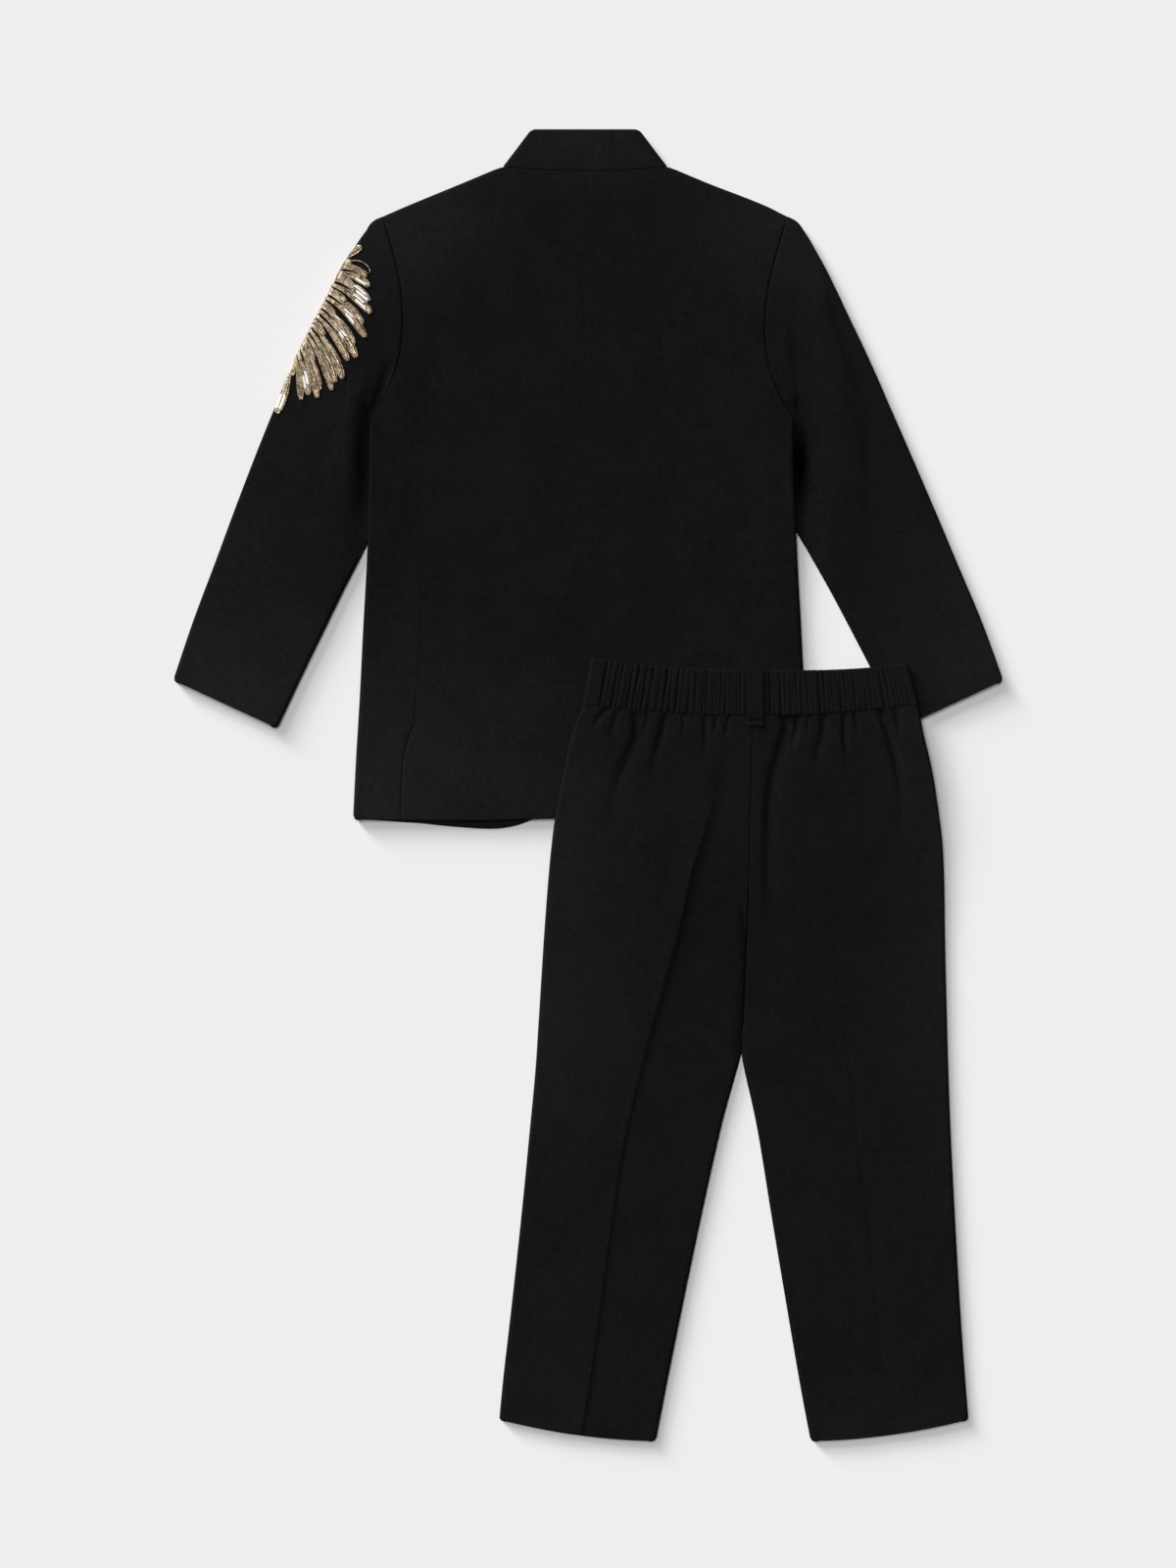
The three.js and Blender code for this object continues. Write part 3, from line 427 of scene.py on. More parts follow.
def chords(points):
    """Straight stretches from point to point, each an even share of 0 to 1."""
    points = np.asarray(points, float)

    def curve(t):
        run = np.clip(t, 0, 1) * (len(points) - 1)
        i = np.minimum(run.astype(int), len(points) - 2)
        return lerp(points[i], points[i + 1], (run - i)[..., None])

    return curve


def line(a, b):
    return lambda t: lerp(a, b, t[..., None])


def stretch(curve, start, end):
    return lambda t: curve(lerp(start, end, t))


def chain(first, until, second):
    """Two curves one after the other, the first one up to the share given."""

    def curve(t):
        early = first(np.clip(t / until, 0, 1))
        late = second(np.clip((t - until) / (1 - until), 0, 1))
        return np.where((t < until)[..., None], early, late)

    return curve


def panel_plan(top, bottom, near, far):
    """The plan of a panel between its four edges: top and bottom run across it, near and far run down it."""
    ends = np.array([0.0, 1.0])
    (top_near, top_far), (bottom_near, bottom_far) = top(ends), bottom(ends)

    def plan(u, v):
        u, v = np.broadcast_arrays(u, v)
        s, t = u[..., None], v[..., None]
        edges = (1 - t) * top(u) + t * bottom(u) + (1 - s) * near(v) + s * far(v)
        corners = (1 - s) * ((1 - t) * top_near + t * bottom_near) + s * ((1 - t) * top_far + t * bottom_far)
        return edges - corners

    return plan


def distance_outside(outline, p):
    """How far points lie outside a closed outline, and 0 inside it."""
    least = np.full(p.shape[:-1], np.inf)
    within = np.zeros(p.shape[:-1], bool)
    for a, b in zip(outline, np.roll(outline, -1, axis=0)):
        along = b - a
        share = np.clip((p - a) @ along / (along @ along), 0, 1)
        least = np.minimum(least, np.linalg.norm(p - a - share[..., None] * along, axis=-1))
        if a[1] != b[1]:
            crosses = (a[1] > p[..., 1]) != (b[1] > p[..., 1])
            within ^= crosses & (p[..., 0] < a[0] + (p[..., 1] - a[1]) * along[0] / along[1])
    return np.where(within, 0, least)


def turn(distance):
    """The share of its full height that cloth has near a folded edge: a quarter of an ellipse."""
    share = 1 - np.clip(distance / FOLD_REACH, 0, 1)
    return np.sqrt(1 - share * share)


# ---------------------------------------------------------------- shells of cloth
ROUNDING = 1 - np.cos(np.linspace(0, math.pi / 2, 7))  # shares of a rounding's reach, closest at its edge


def samples(length, step, near, far):
    """Shares of a length that lie close together over a rounding at either end, and a step apart between."""
    count = max(2, round((length - near - far) / step))
    middle = np.linspace(near, length - far, count + 1)
    rounding = ROUNDING[:-1]
    return np.concatenate([near * rounding, middle, length - far * rounding[::-1]]) / length


def unit(vectors):
    return vectors / np.maximum(np.linalg.norm(vectors, axis=-1, keepdims=True), 1e-9)


def slopes(grid, axis, closed):
    if closed:
        return np.roll(grid, -1, axis) - np.roll(grid, 1, axis)
    return np.gradient(grid, axis=axis)


def edge_distance(grid, axis, from_end):
    """The length of cloth between each point and the grid's edge."""
    steps = np.linalg.norm(np.diff(grid, axis=axis), axis=-1)
    run = np.cumsum(steps, axis=axis)
    pad = [(0, 0), (0, 0)]
    pad[axis] = (1, 0)
    run = np.pad(run, pad)
    total = run.max(axis=axis, keepdims=True)
    return total - run if from_end else run


# For each edge of a grid: the axis that leads away from it, whether it is that axis's end, and its points.
EDGES = {
    "top": (0, False, np.s_[0, :]),
    "bottom": (0, True, np.s_[-1, :]),
    "near": (1, False, np.s_[:, 0]),
    "far": (1, True, np.s_[:, -1]),
}


def shell(grid, thickness, rims, closed=False, lift=0):
    """The points and faces of a closed wall of cloth round a grid of its middle surface, rows by columns.

    rims gives how far in each open edge starts to round off. Where closed is true the last column meets the
    first. lift moves the wall up or down without thinning it.
    """
    rows, cols = grid.shape[:2]
    normal = unit(np.cross(slopes(grid, 1, closed), slopes(grid, 0, False)))
    half = np.full((rows, cols), thickness / 2)
    border = np.zeros((rows, cols), bool)
    for edge, reach in rims.items():
        axis, from_end, own = EDGES[edge]
        share = 1 - np.clip(edge_distance(grid, axis, from_end) / reach, 0, 1)
        half *= np.sqrt(1 - share * share)
        border[own] = True
    half[border] = 0
    offset = normal * half[..., None]
    raised = grid.copy()
    raised[..., 2] += lift
    upper = np.arange(rows * cols).reshape(rows, cols)
    lower = upper.copy()
    lower[~border] = rows * cols + np.arange((~border).sum())
    points = np.concatenate([(raised + offset).reshape(-1, 3), (raised - offset)[~border]])
    faces = np.concatenate([quads(upper, closed), quads(lower, closed)[:, ::-1]])
    a, b, c, d = (points[faces[:, k]] for k in range(4))
    volume = (np.cross(b - a, c - a) * a).sum() + (np.cross(c - a, d - a) * a).sum()
    return points, faces if volume > 0 else faces[:, ::-1]


def quads(ids, closed):
    here, beyond = (ids, np.roll(ids, -1, axis=1)) if closed else (ids[:, :-1], ids[:, 1:])
    return np.stack([here[:-1], here[1:], beyond[1:], beyond[:-1]], -1).reshape(-1, 4)


def placed(name, data):
    thing = bpy.data.objects.new(name, data)
    bpy.context.collection.objects.link(thing)
    return thing


def mesh_piece(name, points, faces, material, origin):
    """A smooth mesh piece of the suit, from points in the garment's frame."""
    mesh = bpy.data.meshes.new(name)
    mesh.from_pydata(((points + origin) * MM).tolist(), [], [list(face) for face in faces])
    mesh.materials.append(material)
    mesh.shade_smooth()
    piece = placed(name, mesh)
    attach(piece, "root")
    return piece


def cloth(garment, name, grid, thickness, rims, closed=False, lift=0, grain=0):
    """A piece of cloth in place of the CAD node of that name. Its cut is measured on its middle surface."""
    points, faces = shell(grid, thickness, rims, closed, lift)
    material = garment["material"](name, grain, garment["origin"])
    piece = mesh_piece(name + "_cloth", points, faces, material, garment["origin"])
    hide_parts(name)
    return piece


def wander(p, seed, reach=70):
    """An uneven swell between -1 and 1 over a garment, about reach wide, from waves that cross each other."""
    total = np.zeros(p.shape[:-1])
    for k in range(5):
        angle = seed + 1.9 * k
        wave = (1 + 0.23 * k) * 2 * math.pi / (reach * 1.6)
        total += np.sin(wave * (p[..., 0] * math.cos(angle) + p[..., 1] * math.sin(angle)) + 5.1 * k * seed)
    return total / 5


def valleys(p, rows):
    """How far a set of valleys moves the cloth up."""
    total = np.zeros(p.shape[:-1])
    drop = -p[..., 1]
    for row in rows:
        path = through(np.array(row["path"], float))(np.linspace(0, 1, 60))
        middle = np.interp(drop, path[:, 1], path[:, 0])
        slope = np.interp(drop, path[:, 1], np.gradient(path[:, 0], path[:, 1]))
        aside = (p[..., 0] - middle) / np.sqrt(1 + slope * slope)
        start, end = row["fade"]
        shown = between(drop, path[0, 1] - 0.01, path[0, 1] + start, path[-1, 1] - end, path[-1, 1])
        spread = np.interp(drop, path[[0, -1], 1], [1, row["opening"]])
        width = np.where(aside > 0, row["right"], row["left"]) * spread
        total -= row["depth"] * shown * np.exp(-((np.abs(aside) / width) ** row["sharp"]))
    return total


def corner_inset(distance, radius):
    """How far a rounded corner's side lies in from the sharp corner's, at a distance from the end."""
    rest = radius - np.clip(distance, 0, radius)
    return radius - np.sqrt(radius * radius - rest * rest)


# ---------------------------------------------------------------- materials
class Nodes:
    """A material's nodes, linked by short calls."""

    def __init__(self, name):
        self.material = bpy.data.materials.new(name)
        self.material.use_nodes = True
        self.tree = self.material.node_tree
        self.shader = self.tree.nodes["Principled BSDF"]

    def add(self, kind, inputs=(), **settings):
        node = self.tree.nodes.new(kind)
        for key, value in settings.items():
            setattr(node, key, value)
        for socket, value in dict(inputs).items():
            if isinstance(value, bpy.types.NodeSocket):
                self.tree.links.new(value, node.inputs[socket])
            else:
                node.inputs[socket].default_value = value
        return node

    def shade(self, **inputs):
        for key, value in inputs.items():
            socket = self.shader.inputs[key.replace("_", " ")]
            if isinstance(value, bpy.types.NodeSocket):
                self.tree.links.new(value, socket)
            else:
                socket.default_value = value

    def ramp(self, amount, dark, light, low=0, high=1):
        """A colour that goes from dark to light while amount goes from low to high."""
        node = self.add("ShaderNodeValToRGB", {"Fac": amount})
        for number, (position, colour) in enumerate([(low, dark), (high, light)]):
            node.color_ramp.elements[number].position = position
            node.color_ramp.elements[number].color = (*colour, 1)
        return node.outputs[0]


def threads(nodes, place, along, across, seed):
    """Uneven threads, along and across given as the millimetres between their changes."""
    stretched = nodes.add(
        "ShaderNodeMapping",
        {"Vector": place, "Scale": (1 / across, 1 / along, 1), "Location": (seed, 2 * seed, 0)},
    )
    noise = nodes.add(
        "ShaderNodeTexNoise",
        {"Vector": stretched.outputs[0], "Scale": 1.0, "Detail": 3.0, "Roughness": 0.6},
    )
    return noise.outputs["Fac"]


def maths(nodes, operation, a, b):
    return nodes.add("ShaderNodeMath", {0: a, 1: b}, operation=operation).outputs[0]


def painted_light_and_shade(nodes, place, spots, origin):
    """Painted light and shade: how much the cloth's colour is lightened or darkened round a few places, from
    a table of SPOTS.
    """
    total = None
    for out, drop, across, down, strength in zip(*spots.values()):
        centre = (origin + [out, -drop, 0]) * MM
        near = nodes.add(
            "ShaderNodeMapping",
            {"Vector": place, "Location": centre, "Scale": (across * MM, down * MM, 1)},
            vector_type="TEXTURE",
        )
        spot = nodes.add("ShaderNodeTexGradient", {"Vector": near.outputs[0]}, gradient_type="SPHERICAL")
        amount = maths(nodes, "MULTIPLY", spot.outputs["Fac"], strength)
        total = maths(nodes, "ADD", amount, 1.0 if total is None else total)
    return maths(nodes, "MAXIMUM", total, 0.1)


def black_weave(name, grain, spots, origin, dark, light, roughness):
    """Black suiting with an uneven plain weave: warp slubs down the grain, weft slubs across it."""
    nodes = Nodes(name + "_weave")
    place = nodes.add("ShaderNodeTexCoord").outputs["Object"]
    turned = nodes.add(
        "ShaderNodeMapping",
        {"Vector": place, "Scale": (1 / MM, 1 / MM, 1 / MM), "Rotation": (0, 0, -math.radians(grain))},
    ).outputs[0]
    warp = threads(nodes, turned, 9.0, 0.8, 3.0)
    weft = threads(nodes, turned, 0.8, 8.0, 11.0)
    fine_warp = threads(nodes, turned, 2.2, 0.33, 5.0)
    fine_weft = threads(nodes, turned, 0.33, 2.2, 7.0)
    patches = threads(nodes, turned, 46.0, 38.0, 1.0)
    slubs = maths(nodes, "ADD", warp, weft)
    fine = maths(nodes, "ADD", fine_warp, fine_weft)
    both = maths(nodes, "ADD", maths(nodes, "MULTIPLY", slubs, 0.35), maths(nodes, "MULTIPLY", fine, 0.15))
    tone = maths(nodes, "ADD", maths(nodes, "MULTIPLY", both, 0.85), maths(nodes, "MULTIPLY", patches, 0.15))
    colour = nodes.ramp(tone, dark, light, 0.42, 0.58)
    bump = nodes.add("ShaderNodeBump", {"Strength": 0.5, "Distance": 0.0003, "Height": both})
    # The weave's colour is scaled by painted light and painted shade from the spots.
    nodes.shade(
        Base_Color=nodes.add(
            "ShaderNodeVectorMath",
            {"Vector": colour, "Scale": painted_light_and_shade(nodes, place, spots, origin)},
            operation="SCALE",
        ).outputs[0],
        Normal=bump.outputs[0],
        Roughness=roughness,
        Specular_IOR_Level=0.0,
        Sheen_Weight=0.005,
        Sheen_Roughness=0.4,
    )
    return nodes.material


SPOTS = "out drop across down strength"
# Painted light and shade on the jacket's cloth: spots with a strength above 0 lighten the colour as if by
# light on the shoulders, collar, lower left and sleeves; the two below 0 paint shade into the mouths beside
# the body's edge under the arms.
JACKET_PAINTED_LIGHT_AND_SHADE = table(
    SPOTS,
    (-165, 20, 120, 110, 0.9), (165, 25, 110, 100, 0.6), (0, -30, 120, 60, 0.6), (-190, 540, 240, 200, 0.9),
    (-330, 440, 150, 230, 0.7), (-260, 180, 90, 190, 0.3), (340, 430, 130, 260, 0.65),
    (180, 120, 60, 90, 0.15), (175, 240, 10, 46, -1.2), (-184, 236, 12, 60, -0.6),
)
# Painted light on the trousers' cloth: spots that lighten the colour as if by light, towards the legs' outer
# sides and hems.
TROUSERS_PAINTED_LIGHT = table(
    SPOTS,
    (-190, 210, 110, 260, 0.7), (-205, 620, 120, 200, 0.25), (170, 180, 90, 300, 0.5),
    (110, 640, 130, 80, 0.2),
)


def jacket_weave(name, grain, origin):
    return black_weave(name, grain, JACKET_PAINTED_LIGHT_AND_SHADE, origin, (0.0050,) * 3, (0.0090,) * 3, 0.62)


def trousers_weave(name, grain, origin):
    return black_weave(name, grain, TROUSERS_PAINTED_LIGHT, origin, (0.0054,) * 3, (0.0090,) * 3, 0.62)


# ---------------------------------------------------------------- the jacket
UNDER = JACKET_WALL / 2  # the middle of the cloth that lies on the floor
OVER = UNDER + JACKET_WALL + JACKET_LOFT  # the middle of the cloth on top
TUCK = 2 * (JACKET_WALL + GAP)  # what a flat sleeve lifts the body by
JACKET_RIM = 0.9  # how far in an edge of the jacket's cloth starts to round off
PRESSED_RIM = 0.3  # the same at a seam that is pressed flush
BACK_ARM_RIM = {"left": 0.5, "right": 1.6}  # the same along the armholes, on the body
SLEEVE_ARM_RIM = {"left": 2.2, "right": 1.2}  # and on the sleeves
SIDE_SEAM_RIM = {"left": 1.1, "right": 0.3}  # and along the side panels' seams with the back
UNDERARM_SHARE = 0.9  # of an armhole, where its edges start to run out to the folds
TIP_SHARE = 0.04  # of an armhole, where a sleeve's edge has come in from its fold
COLLAR_SEAM_RIM = 1.6
SHOULDER_RUN = (2, 12)  # how far from the shoulder's tip an armhole's rounding starts to widen, and is wide


def lean_at(drop):
    return -LEAN * smoothstep(drop, *LEAN_DOWN)


def leaned(p):
    return p + sideways(lean_at(-p[..., 1]))


def from_centre(p):
    return np.abs(p[..., 0] - lean_at(-p[..., 1]))


JACKET = {
    "origin": np.array(
        [
            (button_low[0] + button_high[0]) / 2 - lean_at(BUTTON_FIRST_DROP),
            (button_low[1] + button_high[1]) / 2 + BUTTON_FIRST_DROP,
            0,
        ]
    ),
    "material": jacket_weave,
    "slot": "jacket_cloth",
}


def tuck_share(p):
    """How far the body is lifted where a sleeve is tucked under its edge, as a share of the whole lift."""
    return smoothstep(from_centre(p), *TUCK_OUT) * between(-p[..., 1], *TUCK_DOWN)


def roll_share(p):
    """The share of its rise that the back has where it rolls gently over the sleeves."""
    return smoothstep(from_centre(p), *ROLL_OUT) * between(-p[..., 1], *ROLL_DOWN)


def crown_at(p):
    return CROWN * (1 - smoothstep(from_centre(p), *CROWN_OUT)) * (1 - smoothstep(-p[..., 1], *CROWN_DOWN))


def body_over(p):
    return OVER + crown_at(p) + (TUCK - JACKET_LOFT + GAP) * roll_share(p)


def body_under(p):
    return UNDER + TUCK * tuck_share(p)


def armhole(sign, inset, opened=ARMHOLE_SLIT):
    """An armhole's line, moved out by inset and then opened, or closed further where opened is below 0."""
    seam = through(places(ARMHOLE, "half", "drop", sign))

    def curve(t):
        tangent = seam(t + 0.01) - seam(t - 0.01)
        outward = unit(square_to(tangent))
        outward *= np.where(outward[..., :1] * sign < 0, -1, 1)
        slit = opened * between(t, *SLIT_SHARES)
        return leaned(seam(t) + (inset - math.copysign(1, inset) * slit)[..., None] * outward)

    return curve


def seam_edge(rows, sign, inset):
    seam = through(places(rows, "half", "drop", sign))
    return lambda t: leaned(seam(t) + [sign * inset, 0])


def body_fold(sign):
    """The body's folded edge, whose places crowd towards the underarm as those on the seams do."""
    fold = seam_edge(BODY_EDGE, sign, -(JACKET_WALL + GAP) / 2)

    def curve(t):
        p = fold(t**1.6)
        inset = corner_inset(p[..., 1] - fold(np.ones(1))[0, 1], BODY_CORNER)
        return p - sideways(sign * inset)

    return curve


def to_fold(p, t, fold):
    """At the underarm the edges along the seam run out to the two folds."""
    return lerp(p, fold(np.zeros(1))[0], smoothstep(t, UNDERARM_SHARE, 1)[..., None])


def shoulder_line(neck_point, tip, side):
    """A shoulder, which rises a little between the neck and its tip."""

    def curve(t):
        rise = SHOULDER_BOW[side] * between(t, *SHOULDER_BOW_SHARES)
        return line(neck_point, tip)(t) + upwards(rise)

    return curve


def shoulder_height(u, v, full, rest):
    """A back or front is folded to meet its neighbour along the shoulder, and runs level to the neck seam."""
    shoulder = smoothstep(u, NECK_SHARE - 0.01, NECK_SHARE + 0.08)
    return lerp(full, rest + (full - rest) * turn(v * BACK_LENGTH), shoulder)


def on_floor_frame(plan, z):
    return np.concatenate([plan, z[..., None]], -1)


SIDE_SHARE = SIDE_SEAM_DROP / BACK_LENGTH  # where down a back or front its side seam begins
PANEL_WIDTH = 170
SIDE_WIDTH = 50
BACK_HEM_MIDDLE = (74, 530)
SEAM_FLAT = (0, 14)  # how far from its long seams a back is still flat, and uneven in full
TOP_FLAT = (4, 20)  # the same from its top
UNDERLAP_SHARES = (0.04, 0.45)  # of the vent, where the underlap begins and has its full width
UNDERARM_RIM = 0.5
SEAM_RIM_SHARES = (0.4, 0.75)  # of the side seam, where its rim starts to widen and is wide


def back_panel(side, s):
    centre_half = -s * PRESSED_PASS
    nape = at(centre_half, NAPE_DROP - PASS)
    neck_point = at(s * NECK_HALF, NAPE_DROP - NECK_RISE - PASS)
    neckline = through([nape, at(s * 0.5 * NECK_HALF, NAPE_DROP - 0.25 * NECK_RISE - PASS), neck_point])
    seam = chain(seam_edge(SIDE_SEAM, s, PRESSED_PASS), VENT_AT, seam_edge(VENT_EDGE, s, PRESSED_PASS))
    arm = armhole(s, PASS)
    shoulder = arm(np.zeros(1))[0]
    hem_half, hem_drop = BACK_HEM_MIDDLE
    foot = [leaned(at(centre_half, BACK_LENGTH)), leaned(at(s * hem_half, hem_drop)), seam(np.ones(1))[0]]
    centre = line(nape, at(centre_half, BACK_LENGTH))
    plan = panel_plan(
        top=chain(neckline, NECK_SHARE, shoulder_line(neck_point, shoulder, side)),
        bottom=through(foot),
        near=lambda t: leaned(centre(t)),
        far=chain(stretch(arm, 0, SIDE_SEAM_AT), SIDE_SHARE, seam),
    )
    u = samples(PANEL_WIDTH, BACK_STEPS[0], JACKET_RIM, JACKET_RIM)[None, :]
    v = samples(BACK_LENGTH, BACK_STEPS[1], FOLD_REACH, JACKET_RIM)[:, None]
    p = plan(u, v)
    z = shoulder_height(u, v, body_over(p), (OVER + UNDER + GAP) / 2)
    vent_top = lerp(SIDE_SHARE, 1, VENT_AT)
    arm_rim = lerp(PRESSED_RIM, BACK_ARM_RIM[side], smoothstep(v * BACK_LENGTH, *SHOULDER_RUN))
    far_rim = np.where(v < SIDE_SHARE, arm_rim, np.where(v > vent_top, JACKET_RIM, PRESSED_RIM))
    rims = {"top": JACKET_RIM, "bottom": JACKET_RIM, "near": PRESSED_RIM, "far": far_rim}
    inside = smoothstep(np.minimum(u, 1 - u) * PANEL_WIDTH, *SEAM_FLAT)
    inside = inside * smoothstep(v * BACK_LENGTH, *TOP_FLAT)
    lift = (UNEVEN * wander(p, 1.3) + valleys(p, BODY_FOLDS)) * inside
    cloth(JACKET, f"jacket_back_{side}", on_floor_frame(p, z), JACKET_WALL, rims, lift=lift)


def side_panel(side, s):
    """The side panel runs from the back's seam round the folded edge to the front's seam."""
    fold = body_fold(s)

    def underlap(t):
        """Past the vent's top the panel runs on under the back's edge."""
        inset = -PRESSED_PASS - VENT_UNDERLAP * smoothstep(t, *UNDERLAP_SHARES)
        edge = through(places(VENT_EDGE, "half", "drop", s))(t)
        return leaned(edge + sideways(s * inset))

    def half(arm, seam):
        def top(u):
            t = lerp(SIDE_SEAM_AT, 1, u)
            return to_fold(arm(t), t, fold)

        return panel_plan(top=top, bottom=line(seam(np.ones(1))[0], fold(np.ones(1))[0]), near=seam, far=fold)

    over_plan = half(armhole(s, PASS), chain(seam_edge(SIDE_SEAM, s, -PRESSED_PASS), VENT_AT, underlap))
    under_plan = half(armhole(s, PASS, -ARMHOLE_SLIT), seam_edge(FRONT_SEAM, s, -PRESSED_PASS))
    vent_edge = through(places(VENT_EDGE, "half", "drop"))
    v = samples(BACK_LENGTH - SIDE_SEAM_DROP, SIDE_STEPS[1], JACKET_RIM, JACKET_RIM)[:, None]
    corner = over_plan(np.array([[0.0, 1.0]]), v)
    across = np.linalg.norm(corner[:, 1:] - corner[:, :1], axis=-1)
    width = np.maximum(across, UNDERARM_RUN * (1 - SIDE_SEAM_AT) * (v == 0))
    base = samples(SIDE_WIDTH, SIDE_STEPS[0], JACKET_RIM, FOLD_REACH)
    turned = 1 - FOLD_REACH * ROUNDING[::-1] / width
    before_fold = 1 - FOLD_REACH / SIDE_WIDTH
    plain = base[base < before_fold - 1e-6] / before_fold
    plain = np.broadcast_to(plain, (len(v), len(plain))) * (1 - FOLD_REACH / width)
    u = np.concatenate([plain, turned], axis=1)
    v = np.broadcast_to(v, u.shape)
    far_place = over_plan(np.ones_like(v[:, :1]), v[:, :1])
    middle = (body_over(far_place) + body_under(far_place)) / 2

    def sunk(p):
        edge = vent_edge((v - VENT_AT) / (1 - VENT_AT))[..., 0]
        near = 1 - smoothstep(from_centre(p) - edge, *VENT_ACROSS)
        return VENT_SINK * smoothstep(-p[..., 1], *VENT_DOWN) * near

    def layer(p, full):
        return on_floor_frame(p, middle + (full - middle) * turn((1 - u) * width))

    over_p = over_plan(u, v)
    under_p = under_plan(u, v)
    over = layer(over_p, body_over(over_p) - sunk(over_p))
    under = layer(under_p, body_under(under_p))[:, -2::-1]
    seam_rim = lerp(PRESSED_RIM, SIDE_SEAM_RIM[side], smoothstep(v[:, :1], *SEAM_RIM_SHARES))
    near_rim = np.where(v[:, :1] > VENT_AT, JACKET_RIM, seam_rim)
    rims = {"top": UNDERARM_RIM, "bottom": JACKET_RIM, "near": near_rim, "far": JACKET_RIM}
    roll = between(-over_p[..., 1], *EDGE_ROLL_DOWN) * smoothstep(u * width / width.max(), *EDGE_ROLL_ACROSS)
    lift = np.concatenate([BODY_ROLL * roll, np.zeros(under.shape[:2])], axis=1)
    grid = np.concatenate([over, under], axis=1)
    cloth(JACKET, f"jacket_side_{side}", grid, JACKET_WALL, rims, lift=lift)


def button_rise(p):
    last = BUTTON_FIRST_DROP + (BUTTON_COUNT - 1) * BUTTON_PITCH
    beside = 1 - smoothstep(from_centre(p), *BUTTONS_OUT)
    along = between(-p[..., 1], *BUTTONS_DOWN, *(last + past for past in BUTTONS_END))
    return (BUTTON_THICKNESS + GAP) * beside * along


def lap_rise(p):
    return (JACKET_WALL + 2 * GAP) * (1 - smoothstep(p[..., 0] - lean_at(-p[..., 1]), *BUTTONS_OUT))


def front_panel(side, s):
    seam = seam_edge(FRONT_SEAM, s, PRESSED_PASS)
    neck = chords(places(FRONT_NECK, "half", "drop", s)[::-1] + [s * GAP, -GAP])
    hem = through(places(FRONT_HEM, "half", "drop", s))
    arm = armhole(s, PASS, -ARMHOLE_SLIT)
    ends = np.array([0.0, 1.0])
    neck_ends = neck(ends)
    centre = line(neck_ends[0], hem(ends)[0])
    plan = panel_plan(
        top=chain(neck, NECK_SHARE, shoulder_line(neck_ends[1], arm(ends)[0], side)),
        bottom=lambda t: leaned(hem(t)) + sideways(-s * t * GAP / 2),
        near=lambda t: leaned(centre(t)),
        far=chain(stretch(arm, 0, SIDE_SEAM_AT), SIDE_SHARE, seam),
    )
    u = samples(PANEL_WIDTH, FRONT_STEPS[0], JACKET_RIM, JACKET_RIM)[None, :]
    v = samples(BACK_LENGTH, FRONT_STEPS[1], FOLD_REACH, JACKET_RIM)[:, None]
    p = plan(u, v)
    full = body_under(p) + button_rise(p) + (lap_rise(p) if s > 0 else 0)
    z = shoulder_height(u, v, full, (OVER + UNDER - GAP) / 2)
    rims = dict.fromkeys(EDGES, JACKET_RIM)
    cloth(JACKET, f"jacket_front_{side}", on_floor_frame(p, z), JACKET_WALL, rims)


def head_swell(side, below):
    """How far a sleeve's outer fold lies beyond its table, so far below its head's top."""
    swell = HEAD_SWELL[side] * between(below, *HEAD_DOWN) - FOLD_HOLLOW[side] * between(below, *HOLLOW_DOWN)
    return swell - HEAD_TUCK * (1 - smoothstep(below, 0, TUCK_RUN))


def sleeve_edge(side, edge):
    """A sleeve's outer or inner fold."""
    curve = through(places(SLEEVE, edge, edge + "_drop", SIDES[side]))

    def swung(t):
        p = leaned(curve(t))
        swing = SLEEVE_SWING * smoothstep(-p[..., 1], *SWING_DOWN)
        if edge == "outer":
            swing = swing + SIDES[side] * head_swell(side, -p[..., 1] - HEAD_TOP)
        return p + sideways(swing)

    return swung


def sleeve_plan(side):
    """A sleeve's plan: u runs across it from its outer fold, and v down it."""
    outer = sleeve_edge(side, "outer")
    inner = sleeve_edge(side, "inner")
    seam = armhole(SIDES[side], -PASS)

    def top(t):
        start = outer(np.zeros(1))[0]
        return to_fold(lerp(seam(t), start, 1 - smoothstep(t, 0, TIP_SHARE)[..., None]), t, inner)

    def plan(u, v):
        u, v = np.broadcast_arrays(u, v)
        ends = top(np.array([0.0, 1.0]))
        bow = top(u) - lerp(ends[0], ends[1], u[..., None])
        across = unit(inner(v) - outer(v)) * corner_inset((1 - v) * SLEEVE_LENGTH, CUFF_CORNER)[..., None]
        return lerp(outer(v) + across, inner(v) - across, u[..., None]) + bow * ((1 - v) ** 4)[..., None]

    return plan


SLEEVE_LOW = UNDER + JACKET_WALL + GAP  # the upper layer where it is pressed on the lower one
PRESSED_BEYOND = 3  # how far beyond the body's edge it still is
PRESSED_SLOPE = 0.4  # how steeply it rises from there
BODY_EDGE_RUN = 322.5  # about how far down the body's edge runs, by which a place on it is found


def sleeve_over(p):
    """The height of a sleeve's upper layer, which the body presses down where it lies on it."""
    rising = SLEEVE_LOW + PRESSED_SLOPE * np.maximum(0, beyond_body(p) - PRESSED_BEYOND)
    return np.minimum(OVER, lerp(OVER, rising, between(-p[..., 1], *SLEEVE_PRESSED_DOWN)))


def beyond_body(p):
    """How far a place on a sleeve lies beyond the body's folded edge."""
    edge = through(places(BODY_EDGE, "half", "drop"))
    return from_centre(p) - edge((-p[..., 1] - BODY_EDGE["drop"][0]) / BODY_EDGE_RUN)[..., 0]


